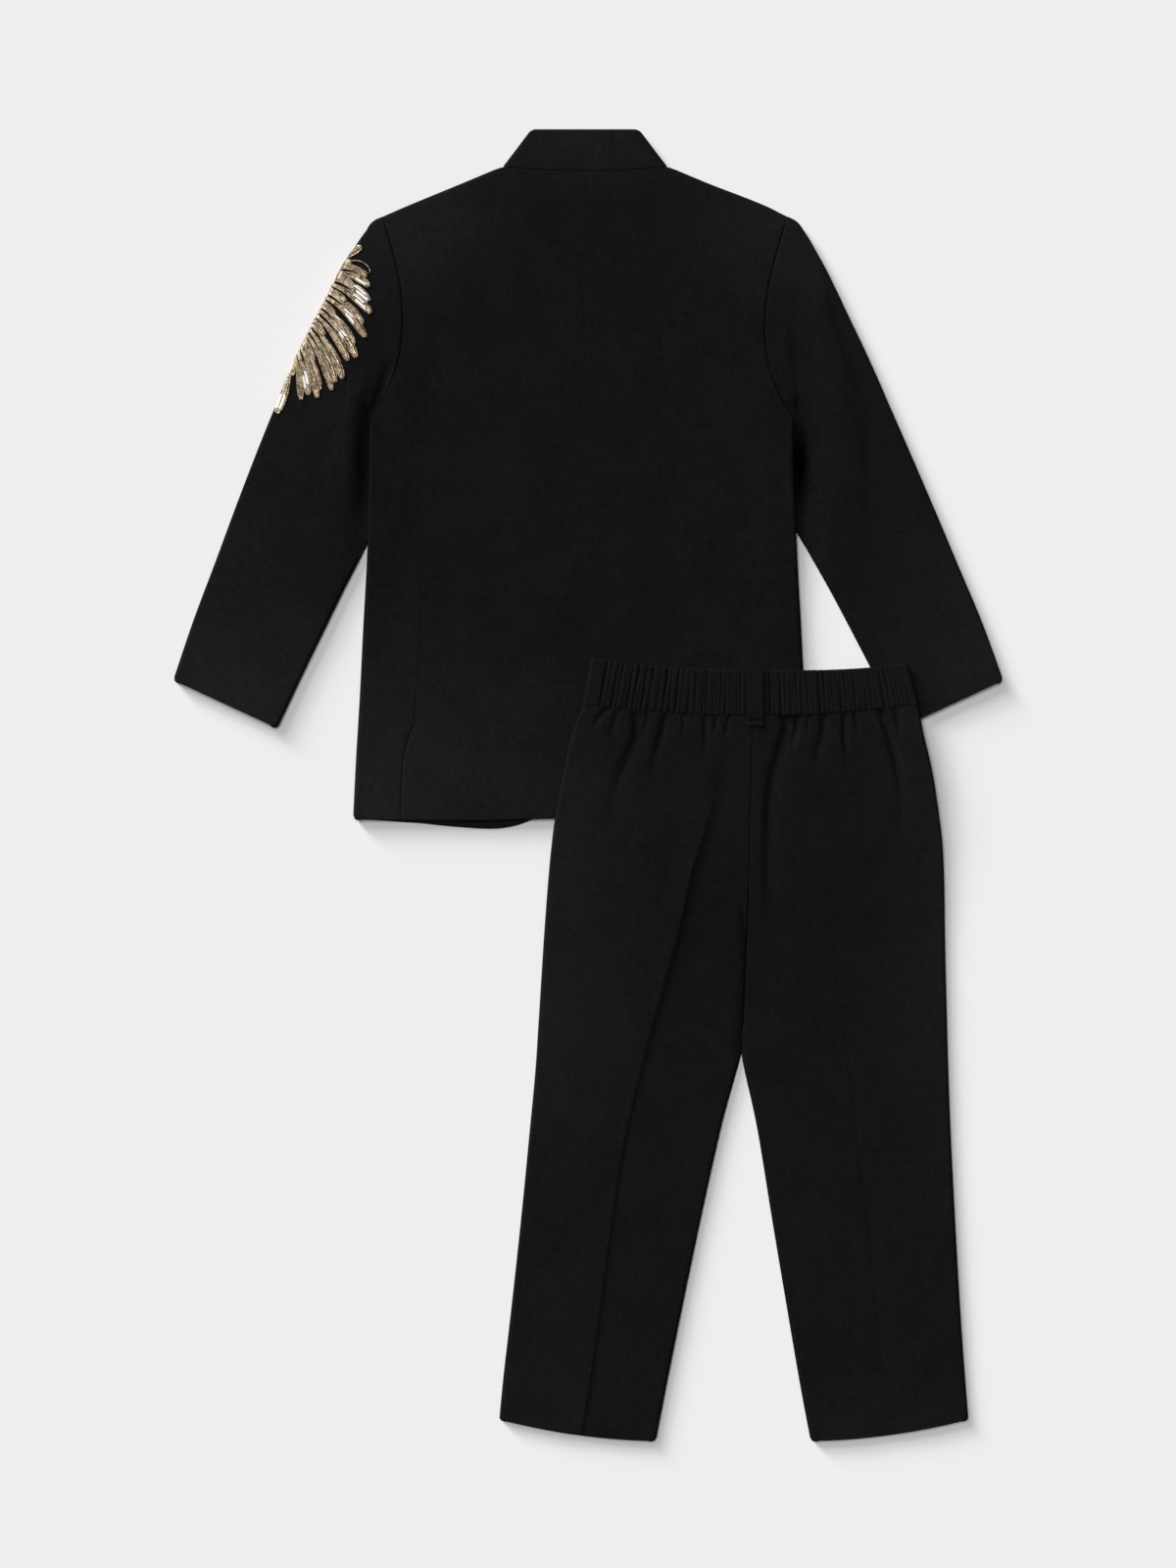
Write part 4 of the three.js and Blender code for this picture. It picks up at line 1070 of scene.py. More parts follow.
def sleeve_folds(p, side, height):
    """What the folds add to the height of a sleeve's upper layer, which stays above the lower one."""
    drop = -p[..., 1]
    mouth = MOUTH[side]
    low, high = (np.interp(drop, mouth["drop"], mouth[column]) for column in ("low", "high"))
    beyond = beyond_body(p)
    rising = lerp(SLEEVE_LOW, OVER, smoothstep(beyond, low, high))
    pressed = between(drop, *MOUTH_DOWN) * smoothstep(beyond, *MOUTH_BEYOND)
    folded = lerp(height, rising, pressed) + valleys(p, SLEEVE_FOLDS[side])
    return np.maximum(folded, SLEEVE_LOW) - height


def sleeve_lift(p, side):
    swell = UNEVEN * wander(p, 2.1 + SIDES[side]) * smoothstep(beyond_body(p), *SLEEVE_SWELL_BEYOND)
    return swell + sleeve_folds(p, side, sleeve_over(p))


FOLDS_SHOWN = (0.7, 1)  # the shares of its full height at which a sleeve's folds begin, and are full
FOLDS_DOWN = (0, 0.05)  # the same as shares of its length
SLEEVE_GRAIN = 25  # degrees that a sleeve's grain is turned by


def sleeve(side, s):
    plan = sleeve_plan(side)
    top_fold = FOLD_REACH * ROUNDING / SLEEVE_TOP_WIDTH
    arm_fold = 1 - FOLD_REACH * ROUNDING[::-1] / UNDERARM_RUN
    u = np.linspace(top_fold[-1], arm_fold[0], SLEEVE_COLUMNS)
    u = np.concatenate([top_fold[:-1], u, arm_fold[1:]])[None, :]
    v = samples(SLEEVE_RUN, SLEEVE_ROW_STEP, JACKET_RIM, JACKET_RIM)[:, None]
    over_edge = sleeve_over(plan(np.round(u), v))
    middle = (over_edge + UNDER) / 2
    turned = turn(np.minimum(u * SLEEVE_TOP_WIDTH, (1 - u) * UNDERARM_RUN))
    p = plan(u, v)
    over = on_floor_frame(p, middle + (sleeve_over(p) - middle) * turned)
    under = on_floor_frame(p, middle + (UNDER - middle) * turned)[:, -2:0:-1]
    lift = sleeve_lift(p, side) * smoothstep(turned, *FOLDS_SHOWN) * smoothstep(v, *FOLDS_DOWN)
    lift = np.concatenate([lift, np.zeros(under.shape[:2])], axis=1)
    arm_rim = lerp(PRESSED_RIM, SLEEVE_ARM_RIM[side], smoothstep(u * SLEEVE_TOP_WIDTH, *SHOULDER_RUN))
    rims = {"top": np.concatenate([arm_rim, arm_rim[:, -2:0:-1]], axis=1), "bottom": JACKET_RIM}
    grid = np.concatenate([over, under], axis=1)
    cloth(JACKET, f"jacket_sleeve_{side}", grid, JACKET_WALL, rims, True, lift, grain=SLEEVE_GRAIN * s)


CORNER_SHARE = 0.93  # of the collar's half width, where its top starts to round off


def collar():
    fold_base = NECK_HALF - COLLAR_WALL / 2
    wide = 2 * fold_base
    middle = (OVER + UNDER) / 2

    def back_place(t, v):
        share = 2 * t - 1
        drop = COLLAR_CORNER * smoothstep(np.abs(share), CORNER_SHARE, 1) - COLLAR_HEIGHT
        neck = np.stack([share * fold_base, NECK_RISE * share * share - NAPE_DROP - PASS], -1)
        top = np.stack([share * COLLAR_TOP_HALF, -drop], -1)
        return lerp(neck, top, v[..., None])

    to_folds = fold_base / NECK_HALF
    neck_rows = places(FRONT_NECK, "half", "drop")[:-1] * [to_folds, 1] + [0, 1.6 * GAP]
    front_neck = chords(neck_rows)
    front_top = through(places(COLLAR_FRONT_TOP, "half", "drop"))
    v = samples(COLLAR_HEIGHT, COLLAR_STEPS[1], JACKET_RIM, JACKET_RIM)[:, None]
    t, v_over = np.broadcast_arrays(samples(wide, COLLAR_STEPS[0], FOLD_REACH, FOLD_REACH)[None, :], v)
    p = back_place(t, v_over)
    over = on_floor_frame(p, middle + (body_over(p) - middle) * turn(np.minimum(t, 1 - t) * wide))
    t = samples(COLLAR_FRONT_LENGTH, COLLAR_FRONT_STEP, FOLD_REACH, JACKET_RIM)[None, 1:]
    t, v_under = np.broadcast_arrays(t, v)
    p = lerp(front_neck(t), front_top(t), v_under[..., None])
    under = on_floor_frame(p, middle + (COLLAR_WALL / 2 - middle) * turn(t * COLLAR_FRONT_LENGTH))
    grid = np.concatenate([under[:, ::-1] * [-1, 1, 1], over, under], axis=1)
    rims = {"top": JACKET_RIM, "bottom": COLLAR_SEAM_RIM, "near": JACKET_RIM, "far": JACKET_RIM}
    cloth(JACKET, "jacket_collar", grid, COLLAR_WALL, rims)


for side, sign in SIDES.items():
    back_panel(side, sign)
    side_panel(side, sign)
    front_panel(side, sign)
    sleeve(side, sign)
collar()

# ---------------------------------------------------------------- the embroidery
# Plumes fan out from the left sleeve's outer fold, a row for each. A plume sets off from the fold at its
# drop, at its angle below level, and turns down by its bend on the way to its tip. An open one is only its
# outline.
PLUMES = table(
    "drop angle bend length width open",
    (75, -46, 16, 19, 5.0, 0),
    (79.5, -40, 98, 27, 5.6, 1),
    (81.5, -24, 76, 25, 4.4, 0),
    (85, -6, 54, 30, 5.8, 0),
    (89.5, 10, 42, 35, 6.6, 0),
    (94, 17, 36, 41, 6.2, 0),
    (100, 24, 34, 40, 5.6, 0),
    (104, 27, 34, 48, 6.0, 0),
    (110.5, 33, 31, 43, 5.2, 0),
    (114.5, 35, 31, 51, 6.2, 0),
    (118.5, 40, 28, 47, 5.6, 0),
    (125.5, 46, 27, 53, 6.2, 0),
    (129.5, 51, 23, 50, 5.8, 0),
    (133.5, 54, 22, 52, 5.2, 0),
    (139.5, 62, 16, 43, 5.6, 0),
    (143, 64, 15, 46, 5.2, 0),
    (147.5, 70, 12, 38, 5.8, 0),
    (151.5, 77, 10, 37, 4.8, 0),
    (157.5, 99, 14, 43, 7.0, 0),
    (77.5, -42, 60, 9, 3.4, 0),
    (87, 4, 44, 17, 4.0, 0),
    (97, 20, 34, 18, 3.6, 0),
    (107.5, 29, 31, 15, 3.6, 0),
    (121.5, 43, 26, 17, 3.8, 0),
    (136.5, 58, 18, 22, 3.4, 0),
    (154.5, 88, 10, 14, 3.6, 0),
)
# Where a plume's beads carry painted glints, near white in place of glare off the gold: from low to high as
# shares of its length, and on which side, 0 for both.
PAINTED_GLINTS = table(
    "plume low high way",
    (3, 0.56, 0.84, -1),
    (4, 0.50, 0.78, 1),
    (4, 0.60, 0.92, -1),
    (5, 0.50, 0.72, 1),
    (5, 0.58, 0.84, -1),
    (6, 0.28, 0.42, 1),
    (7, 0.40, 0.58, 1),
    (7, 0.46, 0.66, -1),
    (8, 0.34, 0.48, 1),
    (9, 0.50, 0.60, 0),
    (16, 0.48, 0.74, 1),
    (16, 0.56, 0.80, -1),
    (18, 0.60, 0.88, 0),
)
PLUME_START = -2.4  # how far before the fold's outermost line, round its underside, a plume begins
CORD_RADIUS = 0.42
CORD_STEP = 0.5
CORD_TURN = 2.6  # the length over which a two-ply cord goes once round
BEAD_RADIUS = 0.36
BRIGHT_RADIUS = 0.5
BEAD_PITCH = 1.0
BARB_SLANT = 1.2  # how far along the plume a bead's outer end lies, for each millimetre that it goes aside
FOLD_RADIUS = 3.75  # of the round outside of the sleeve's fold


SKIN_SHARES = (0.02, 0.62)  # of the left sleeve's outer fold, between which the plan is unrolled
SKIN_POINTS = 160


def sleeve_skin(p):
    """Places on the left sleeve's outside, and the ways straight out of it, for points of its flat plan."""
    fold = sleeve_edge("left", "outer")(np.linspace(*SKIN_SHARES, SKIN_POINTS))
    inward = unit(square_to(slopes(fold, 0, False)))
    inward *= np.sign(inward[:, :1])
    rim = fold - inward * JACKET_WALL / 2
    nearest = np.argmin(((p[..., None, :] - rim) ** 2).sum(-1), axis=-1)
    foot, inward = rim[nearest], inward[nearest]
    distance = ((p - foot) * inward).sum(-1)
    foot = p - distance[..., None] * inward
    quarter = FOLD_RADIUS * math.pi / 2
    angle = np.clip(distance, -quarter, quarter) / FOLD_RADIUS
    inset = (FOLD_REACH + JACKET_WALL / 2) * (1 - np.cos(angle)) + np.maximum(0, distance - quarter)
    place = foot + inward * inset[..., None]
    half_height = (OVER - UNDER + JACKET_WALL) / 2
    height = (OVER + UNDER) / 2 + half_height * np.sin(angle)
    height = height + sleeve_lift(place, "left") * smoothstep(distance, quarter - 2, quarter + 1)
    outward = np.concatenate([-inward * np.cos(angle)[..., None], np.sin(angle)[..., None]], -1)
    return on_floor_frame(place, height), outward


def plume_path(number):
    """A plume's middle line on the plan and its sideways directions, for shares of its length."""
    row = {name: column[number] for name, column in PLUMES.items()}
    edge = sleeve_edge("left", "outer")(np.linspace(0, 1, 400))
    root = np.array([np.interp(-row["drop"], edge[::-1, 1], edge[::-1, 0]) - JACKET_WALL / 2, -row["drop"]])
    steps = np.linspace(0, 1, 121)
    heading = np.radians(row["angle"] + row["bend"] * steps)
    forward = np.stack([np.cos(heading), -np.sin(heading)], -1)
    run = np.cumsum(forward * (row["length"] - PLUME_START) / 120, axis=0)
    run = root + forward[0] * PLUME_START + run

    def path(t):
        middle = np.stack([np.interp(t, steps, run[:, axis]) for axis in (0, 1)], -1)
        ahead = unit(np.stack([np.interp(t, steps, forward[:, axis]) for axis in (0, 1)], -1))
        return middle, square_to(ahead)

    def half_width(t):
        opened = 0.34 + 0.66 * smoothstep(t, 0.1, 0.75)
        return row["width"] / 2 * opened * np.sqrt(1 - np.clip(t, 0, 1) ** 9)

    return path, half_width, row


def cord_mesh(path, radius, height):
    """A closed tube of two-ply cord that lies on the sleeve along a path of plan points."""
    length = np.linalg.norm(np.diff(path, axis=0), axis=-1).sum()
    count = max(4, round(length / CORD_STEP))
    run = np.linspace(0, len(path) - 1, count + 1)
    path = np.stack([np.interp(run, np.arange(len(path)), path[:, axis]) for axis in (0, 1)], -1)
    skin, outward = sleeve_skin(path)
    centre = skin + outward * height
    ahead = unit(np.gradient(centre, axis=0))
    aside = unit(np.cross(ahead, outward))
    up = np.cross(aside, ahead)
    around = np.linspace(0, 2 * math.pi, 6, endpoint=False)
    along = np.linspace(0, length, count + 1)[:, None]
    ply = 1 + 0.24 * np.cos(2 * (around - 2 * math.pi * along / CORD_TURN))
    size = radius * ply
    size[0] *= 0.15
    size[-1] *= 0.15
    rings = centre[:, None] + size[..., None] * (
        aside[:, None] * np.cos(around)[:, None] + up[:, None] * np.sin(around)[:, None]
    )
    ids = np.arange(rings.shape[0] * 6).reshape(-1, 6)
    return rings.reshape(-1, 3), [*quads(ids, True), ids[0], ids[-1][::-1]]


def bead_mesh(starts, ends, radius, height):
    """Long five-sided beads that lie on the sleeve from start to end, both plan points."""
    a, out_a = sleeve_skin(starts)
    b, out_b = sleeve_skin(ends)
    a, b = a + out_a * height, b + out_b * height
    ahead = unit(b - a)
    aside = unit(np.cross(ahead, out_a))
    up = np.cross(aside, ahead)
    around = np.linspace(0, 2 * math.pi, 5, endpoint=False)
    ring = radius * (
        aside[:, None] * np.cos(around)[:, None] + up[:, None] * np.sin(around)[:, None]
    )
    near = lerp(a, b, 0.08)[:, None] + ring
    far = lerp(a, b, 0.92)[:, None] + ring
    ids = np.arange(len(starts) * 10).reshape(-1, 2, 5)
    first, second = ids[:, 0], ids[:, 1]
    sides = np.stack([first, np.roll(first, -1, 1), np.roll(second, -1, 1), second], -1).reshape(-1, 4)
    return np.concatenate([near, far], axis=1).reshape(-1, 3), [*sides, *first[:, ::-1], *second]


class Bunch:
    """Many small closed parts that make one piece of embroidery."""

    def __init__(self):
        self.points = []
        self.faces = []
        self.count = 0

    def add(self, points, faces):
        self.faces.extend((face[::-1] + self.count).tolist() for face in faces)
        self.points.append(points)
        self.count += len(points)

    def piece(self, name, material):
        piece = mesh_piece(name, np.concatenate(self.points), self.faces, material, JACKET["origin"])


CORD_POINTS = 90
NEXT_PLUME_UP = 0.35  # how much higher every second plume lies
MIDRIB_POINTS = 88
MIDRIB_SHARE = 0.8  # its radius, as a share of the outline's
MIDRIB_UP = 0.15
BEADS_INSIDE = (1.0, 1.2)  # how far from a plume's root and tip its beads begin and end
BEAD_LAST = 0.985  # the share of a plume's length that a bead's outer end never passes
BEAD_SPAN = (0.12, 0.95)  # where a bead starts and ends, as shares of the way out to the plume's outline
BEAD_UP = -0.05
BRIGHT_UP = 0.2


def embroidery():
    gold, glint_beads = Bunch(), Bunch()
    for number in range(len(PLUMES["drop"])):
        path, half_width, row = plume_path(number)
        level = CORD_RADIUS + NEXT_PLUME_UP * (number % 2)
        t = np.linspace(0, 1, CORD_POINTS)
        middle, aside = path(t)
        for way in (-1, 1):
            gold.add(*cord_mesh(middle + way * aside * half_width(t)[:, None], CORD_RADIUS, level))
        if row["open"]:
            continue
        gold.add(*cord_mesh(middle[:MIDRIB_POINTS], CORD_RADIUS * MIDRIB_SHARE, level + MIDRIB_UP))
        length = row["length"] - PLUME_START
        stations = np.arange(BEADS_INSIDE[0], length - BEADS_INSIDE[1], BEAD_PITCH) / length
        start = path(stations)[0]
        reach = half_width(stations)
        tip = np.clip(stations + BARB_SLANT * reach / length, 0, BEAD_LAST)
        end_middle, beside = path(tip)
        for way in (-1, 1):
            end = end_middle + way * beside * (BEAD_SPAN[1] * half_width(tip))[:, None]
            start_of_bead = lerp(start, end, BEAD_SPAN[0])
            # Beads in the listed glint places are coloured as painted glints.
            glinting = np.zeros(len(stations), bool)
            for plume, low, high, side_way in zip(*PAINTED_GLINTS.values()):
                if plume == number and side_way in (0, way):
                    glinting |= (stations > low) & (stations < high)
            gold.add(*bead_mesh(start_of_bead[~glinting], end[~glinting], BEAD_RADIUS, level + BEAD_UP))
            if glinting.any():
                glint_beads.add(*bead_mesh(start_of_bead[glinting], end[glinting], BRIGHT_RADIUS, level + BRIGHT_UP))
    gold.piece("sleeve_embroidery", gold_thread())
    glint_beads.piece("sleeve_painted_glints", painted_glint())


def gold_thread():
    """Antique gold thread and beads, paler and darker from one strand to the next."""
    nodes = Nodes("gold_thread")
    place = nodes.add("ShaderNodeTexCoord").outputs["Object"]
    turned = nodes.add("ShaderNodeMapping", {"Vector": place, "Scale": (1 / MM, 1 / MM, 1 / MM)}).outputs[0]
    noise = {"Vector": turned, "Roughness": 0.7}
    strands = nodes.add("ShaderNodeTexNoise", {**noise, "Scale": 0.9, "Detail": 3.0})
    areas = nodes.add("ShaderNodeTexNoise", {**noise, "Scale": 0.22, "Detail": 2.0})
    tone = maths(
        nodes, "ADD",
        maths(nodes, "MULTIPLY", strands.outputs["Fac"], 0.65),
        maths(nodes, "MULTIPLY", areas.outputs["Fac"], 0.35),
    )
    colour = nodes.ramp(tone, (0.095, 0.065, 0.036), (0.78, 0.635, 0.445), 0.42, 0.58)
    twist = nodes.add("ShaderNodeTexNoise", {"Vector": turned, "Scale": 3.0, "Detail": 1.0})
    bump = nodes.add("ShaderNodeBump", {"Strength": 0.4, "Distance": 0.0001, "Height": twist.outputs["Fac"]})
    nodes.shade(Base_Color=colour, Normal=bump.outputs[0], Metallic=0.85, Roughness=0.36)
    return nodes.material


def painted_glint():
    """Painted glints: pale gold, near white and hardly metallic, on beads in place of glare off the gold
    thread.
    """
    nodes = Nodes("painted_glint")
    place = nodes.add("ShaderNodeTexCoord").outputs["Object"]
    noise = nodes.add("ShaderNodeTexNoise", {"Vector": place, "Scale": 900.0, "Detail": 1.0})
    colour = nodes.ramp(noise.outputs["Fac"], (0.86, 0.82, 0.72), (0.97, 0.95, 0.90), 0.3, 0.7)
    nodes.shade(Base_Color=colour, Metallic=0.1, Roughness=0.35)
    return nodes.material


embroidery()

# ---------------------------------------------------------------- the trousers
LEG_UNDER = TROUSERS_WALL / 2
LEG_OVER = LEG_UNDER + TROUSERS_WALL + TROUSERS_LOFT
TROUSERS_RIM = 0.6
TROUSERS = {
    "origin": np.array([(loop_low[0] + loop_high[0]) / 2 - LOOP_OUT, loop_high[1], 0]),
    "material": trousers_weave,
    "slot": "trousers_cloth",
}


def jacket_outlines():
    """The outlines that the trousers lie on, in the jacket's frame: its body and its right sleeve."""
    steps = np.linspace(0, 1, 25)

    def hem_line(s):
        p = through(places(FRONT_HEM, "half", "drop", s))(steps)
        return leaned(np.minimum(p, [np.inf, -BACK_LENGTH]))

    body = [body_fold(1)(steps), hem_line(1)[::-1], hem_line(-1), body_fold(-1)(steps)[::-1]]
    outer, inner = (sleeve_edge("right", edge)(steps) for edge in ("outer", "inner"))
    return [np.concatenate(body), np.concatenate([outer, inner[::-1]])]


OUTLINES = jacket_outlines()
TO_JACKET = (TROUSERS["origin"] - JACKET["origin"])[:2]
STEP_DOWN = (2, 170)  # how far past the jacket's edge the trousers start to come down, and are down
CLEAR_OF_JACKET = 0.5
ALLOWANCE_RUN = 12  # how far down its sides a leg's cut is still stretched upwards, to go under the waistband
LEG_GRAIN = 10  # degrees that a leg's grain is turned by
LEG_OUTER_RIM = 0.4
SEAT_RIM = 0.8
INSIDE_LEG_RIM = 0.3
SEAT_SHOWN = (0.6, 1)  # the shares of the cloth's full height at which the seat's folds begin, and are full


def lift_at(p):
    """How far a place on the trousers is lifted by what lies under it."""
    q = p + TO_JACKET
    beyond = np.minimum(*(distance_outside(outline, q) for outline in OUTLINES))
    return (OVER + UNDER + CLEAR_OF_JACKET + crown_at(q)) * (1 - smoothstep(beyond, *STEP_DOWN))


waist_seam = through(places(WAIST_SEAM, "out", "drop"))


def trouser_panel(side, s, is_back):
    rows = LEGS[side]
    number = np.arange(len(rows["outer"]))
    outer = through(places(rows, "outer", "outer_drop") - [s * TROUSERS_WALL / 2, 0])
    slit = np.interp(rows["inner_drop"], *SEAT_SLIT.values()) if is_back else 0
    inset = s * np.where(number > CROTCH_ROW, TROUSERS_WALL / 2, slit - PRESSED_PASS)
    inner = through(places(rows, "inner", "inner_drop") + sideways(inset))
    half_seam = stretch(waist_seam, 0 if s < 0 else 1, 0.5)
    ends = np.array([0.0, 1.0])
    outer_foot, inner_foot = outer(ends)[1], inner(ends)[1]

    def cornered(t, way):
        """A leg's side turns in at its hem, away from its own side."""
        return sideways(way * corner_inset((1 - t) * LEG_LENGTH, HEM_CORNER))

    def allowance(t):
        """A leg's side runs up under the waistband."""
        return upwards(SEAM_ALLOWANCE * (1 - smoothstep(t * LEG_LENGTH, 0, ALLOWANCE_RUN)))

    plan = panel_plan(
        top=lambda t: half_seam(t) + np.stack([-t * s * PRESSED_PASS, SEAM_ALLOWANCE + 0 * t], -1),
        bottom=lambda t: line(outer_foot, inner_foot)(t) + upwards(-4 * HEM_BELLY * t * (1 - t)),
        near=lambda t: outer(t) + cornered(t, -s) + allowance(t),
        far=lambda t: inner(t) + cornered(t, s) + allowance(t),
    )
    across, down = TROUSERS_BACK_STEPS if is_back else TROUSERS_FRONT_STEPS
    u = samples(LEG_WIDTH, across, FOLD_REACH, FOLD_REACH)[None, :]
    v = samples(LEG_LENGTH, down, TROUSERS_RIM, TROUSERS_RIM)[:, None]
    corner = plan(np.array([[0.0, 1.0]]), v)
    width = np.linalg.norm(corner[:, 1:] - corner[:, :1], axis=-1)
    middle = (LEG_OVER + LEG_UNDER + (GAP if is_back else -GAP)) / 2
    full = LEG_OVER if is_back else LEG_UNDER
    p = plan(u, v)
    below_crotch = v * (len(number) - 1) > CROTCH_ROW
    turned = turn(u * width) * np.where(below_crotch, turn((1 - u) * width), 1)
    z = lift_at(p) + middle + (full - middle) * turned
    seam_rim = np.where(below_crotch, INSIDE_LEG_RIM, SEAT_RIM)
    rims = {"top": TROUSERS_RIM, "bottom": TROUSERS_RIM, "near": LEG_OUTER_RIM, "far": seam_rim}
    lift = 0
    if is_back:
        swell = TROUSERS_UNEVEN * wander(p, 0.7 + s, 60)
        lift = smoothstep(turned, *SEAT_SHOWN) * (valleys(p, SEAT_FOLDS[side]) + swell)
    name = f"trousers_{'back' if is_back else 'front'}_{side}"
    grid = on_floor_frame(p, z)
    cloth(TROUSERS, name, grid, TROUSERS_WALL, rims, lift=lift, grain=-LEG_GRAIN * s)


def rib_valleys(t, v):
    """How deep the valleys between the waistband's ribs are, each uneven and a little aslant."""
    middle = lerp(top_and_seam_middle[0], top_and_seam_middle[1], t)
    total = np.zeros(np.broadcast_shapes(t.shape, v.shape))
    for number, (out, depth) in enumerate(zip(RIBS["out"], RIBS["depth"])):
        uneven = RIB_DEPTH * (1 + RIB_UNEVEN * np.sin(2.4 * number + 3.1 * v))
        aside = np.abs(middle - out - RIB_ASLANT * np.sin(1.7 * number) * (v - 0.5))
        total += depth * uneven * np.exp(-((aside / RIB_WIDTH) ** RIB_SHARP))
    return total


band_top = through(places(BAND_TOP, "out", "drop"))
top_and_seam_middle = ((BAND_TOP["out"] + WAIST_SEAM["out"]) / 2)[[0, -1]]


BAND_HEIGHT = 38
BAND_RIM = 1.0
RIBS_INSIDE = (3, 9)  # how far in from the band's ends its ribs begin, and are full
SWELL_INSIDE = (3, 16)
RIB_NOTCH = 0.45  # the share of a valley's depth that its upper end dips below the band's top


def waistband():
    low = BAND_WALL / 2
    middle = (LEG_OVER + low) / 2
    v = samples(BAND_HEIGHT, BAND_STEPS[1], TROUSERS_RIM, TROUSERS_RIM)[:, None]

    def layer(t, full):
        t, w = np.broadcast_arrays(t, v)
        p = lerp(band_top(t), waist_seam(t), w[..., None])
        turned = turn(np.minimum(t, 1 - t) * BAND_WIDTH)
        return on_floor_frame(p, lift_at(p) + middle + (full - middle) * turned)

    t = samples(BAND_WIDTH, BAND_STEPS[0], FOLD_REACH, FOLD_REACH)[None, :]
    over = layer(t, LEG_OVER)
    from_end = np.minimum(t, 1 - t) * BAND_WIDTH
    ribs = rib_valleys(t, v) * smoothstep(from_end, *RIBS_INSIDE)
    over[..., 1] -= RIB_NOTCH * ribs * (1 - v)
    swell = RIB_SWELL * smoothstep(from_end, *SWELL_INSIDE) * np.sqrt(np.sin(math.pi * v) + 0.1)
    under = layer(samples(BAND_WIDTH, BAND_UNDER_STEP, FOLD_REACH, FOLD_REACH)[None, ::-1][:, 1:-1], low)
    lift = np.concatenate([swell - ribs * lerp(0.8, 1, v), np.zeros(under.shape[:2])], axis=1)
    grid = np.concatenate([over, under], axis=1)
    rims = {"top": BAND_RIM, "bottom": BAND_RIM}
    cloth(TROUSERS, "trousers_waistband", grid, BAND_WALL, rims, True, lift)


LOOP_LENGTH = 46
LOOP_RIM = 0.7
RIBS_WALL = 0.45  # what the ribs add to the waistband's wall under the loop
LOOP_DOWN = (38.6, 42)  # where it steps down from the band to the seat
LOOP_RISE = 0.35  # how far it stands off them
LOOP_TACK = {"drop": 42.5, "depth": 0.5, "reach": 0.7}  # the tack that holds its lower end


def belt_loop():
    on_band = LEG_OVER + (BAND_WALL + RIBS_WALL + LOOP_WALL) / 2 + GAP
    on_seat = LEG_OVER + (TROUSERS_WALL + LOOP_WALL) / 2 + GAP
    u = samples(LOOP_WIDTH, LOOP_STEP, LOOP_RIM, LOOP_RIM)[None, :]
    v = samples(LOOP_LENGTH, LOOP_STEP, LOOP_RIM, LOOP_RIM)[:, None]
    drop = LOOP_LENGTH * v
    p = np.stack(np.broadcast_arrays(LOOP_OUT + (u - 0.5) * LOOP_WIDTH, -drop), -1)
    height = lerp(on_band, on_seat, smoothstep(drop, *LOOP_DOWN))
    tack = LOOP_TACK["depth"] * np.exp(-((drop - LOOP_TACK["drop"]) / LOOP_TACK["reach"]) ** 2)
    height = height + LOOP_RISE - tack
    grid = on_floor_frame(p, lift_at(p) + height)
    rims = dict.fromkeys(EDGES, LOOP_RIM)
    cloth(TROUSERS, "trousers_belt_loop", grid, LOOP_WALL, rims)


for side, sign in SIDES.items():
    trouser_panel(side, sign, True)
    trouser_panel(side, sign, False)
waistband()
belt_loop()

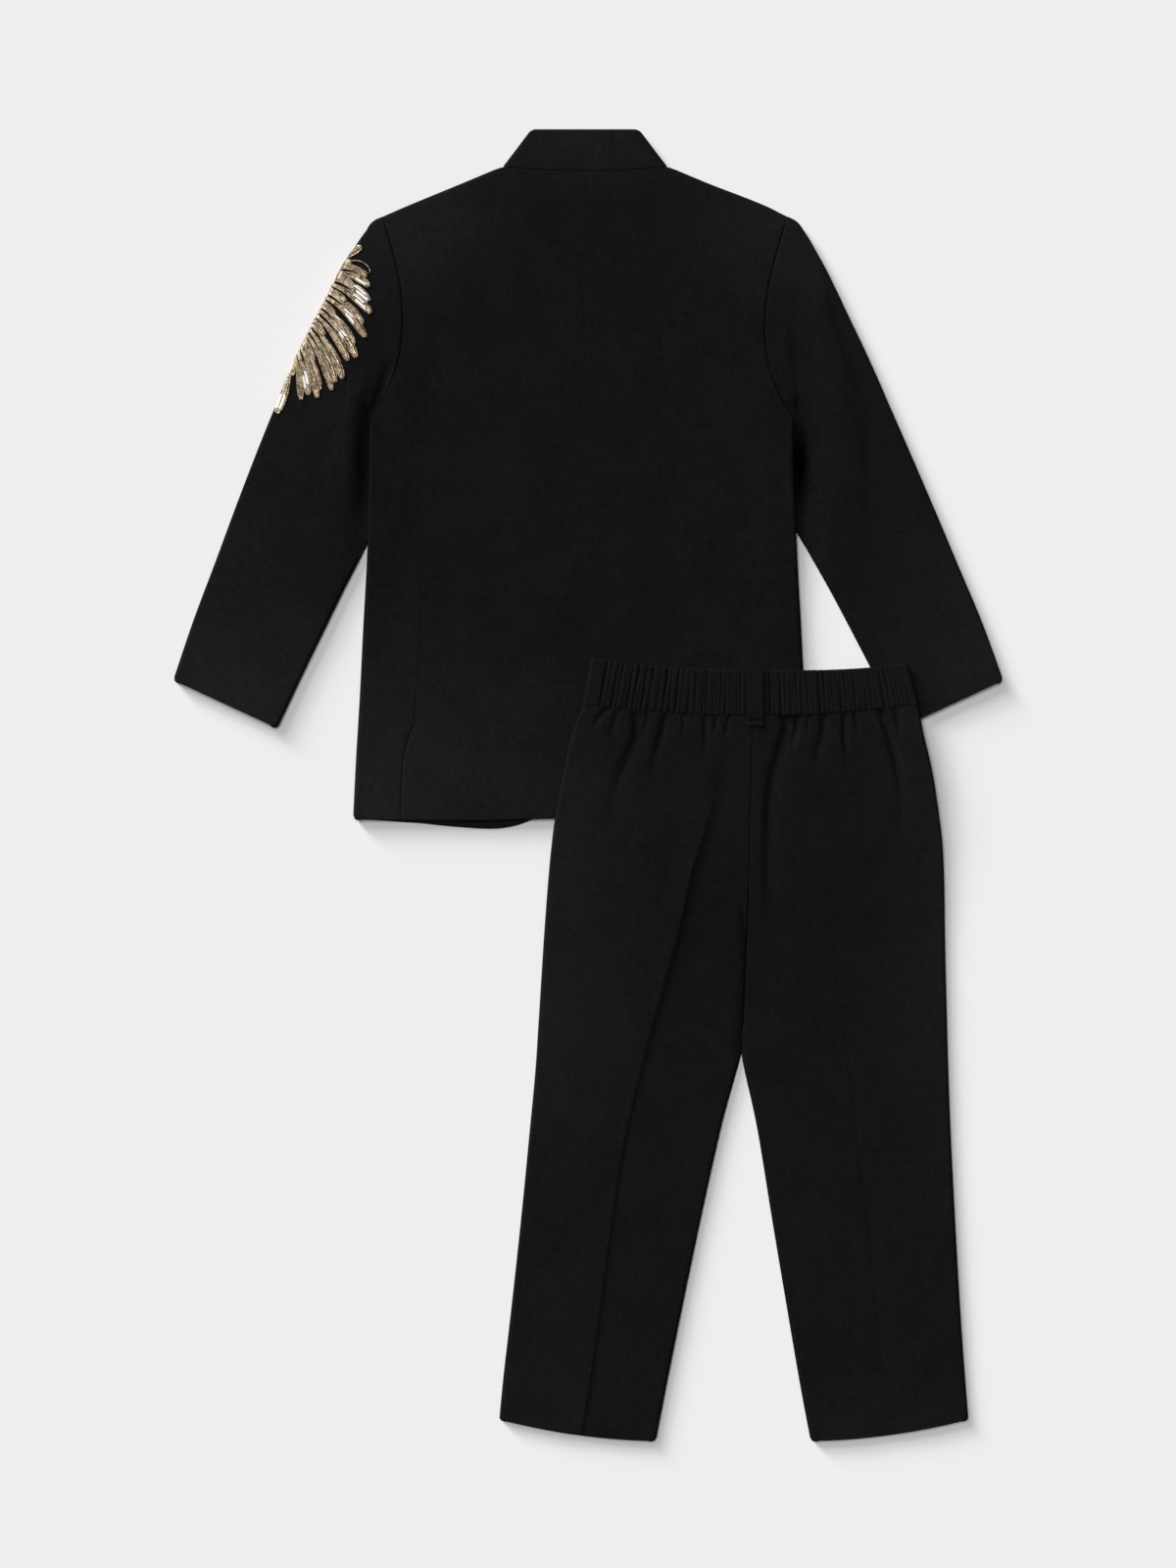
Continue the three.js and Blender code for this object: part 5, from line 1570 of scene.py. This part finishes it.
# ---------------------------------------------------------------- buttons
horn = Nodes("horn")
horn_place = horn.add("ShaderNodeTexCoord").outputs["Object"]
grain_of_horn = horn.add(
    "ShaderNodeTexNoise",
    {"Vector": horn_place, "Scale": 260.0, "Detail": 3.0, "Distortion": 1.5},
)
horn_colour = horn.ramp(grain_of_horn.outputs["Fac"], (0.004, 0.0035, 0.003), (0.022, 0.017, 0.013))
horn.shade(Base_Color=horn_colour, Roughness=0.35)
for number in range(BUTTON_COUNT):
    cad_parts[f"jacket_button_{number + 1}"].material_slots[0].material = horn.material

# ---------------------------------------------------------------- floor, light and camera
FLOOR_REACH = 6.0
floor_mesh = bpy.data.meshes.new("floor")
floor_corners = [(FLOOR_REACH * x, FLOOR_REACH * y, 0) for x, y in ((-1, -1), (1, -1), (1, 1), (-1, 1))]
floor_mesh.from_pydata(floor_corners, [], [(0, 1, 2, 3)])
floor = placed("floor", floor_mesh)
paper = Nodes("paper")
paper.shade(Base_Color=(0.84, 0.84, 0.84, 1), Roughness=1.0, Specular_IOR_Level=0.0)
floor_mesh.materials.append(paper.material)

scene = bpy.context.scene
scene.view_settings.view_transform = "Standard"
world = bpy.data.worlds.new("studio")
world.use_nodes = True
world.node_tree.nodes["Background"].inputs["Color"].default_value = (1, 1, 1, 1)
world.node_tree.nodes["Background"].inputs["Strength"].default_value = 0.06
scene.world = world


def softbox(name, azimuth, elevation, spread, strength):
    """A soft light from far away. Azimuth is the compass bearing that it comes from, with +Y as north."""
    data = bpy.data.lights.new(name, "SUN")
    data.angle = math.radians(spread)
    data.energy = strength
    bearing, height = math.radians(azimuth), math.radians(elevation)
    towards = (
        math.sin(bearing) * math.cos(height),
        math.cos(bearing) * math.cos(height),
        math.sin(height),
    )
    placed(name, data).rotation_euler = Vector(towards).to_track_quat("Z", "Y").to_euler()


softbox("low", -42, 13.5, 14, 2.28)
softbox("key", -42, 26, 26, 2.15)
softbox("top", -42, 74, 30, 1.62)

VIEW_HEIGHT = 1.28  # what the camera takes in from top to bottom, on the floor
CAMERA_HEIGHT = 3.6
CAMERA_OFFSET = 0.0012  # how far it is north of the origin
SENSOR = 36.0
camera_data = bpy.data.cameras.new("camera")
camera_data.sensor_width = SENSOR
camera_data.lens = SENSOR * CAMERA_HEIGHT / VIEW_HEIGHT
camera = placed("camera", camera_data)
camera.location = (0, CAMERA_OFFSET, CAMERA_HEIGHT)
scene.camera = camera
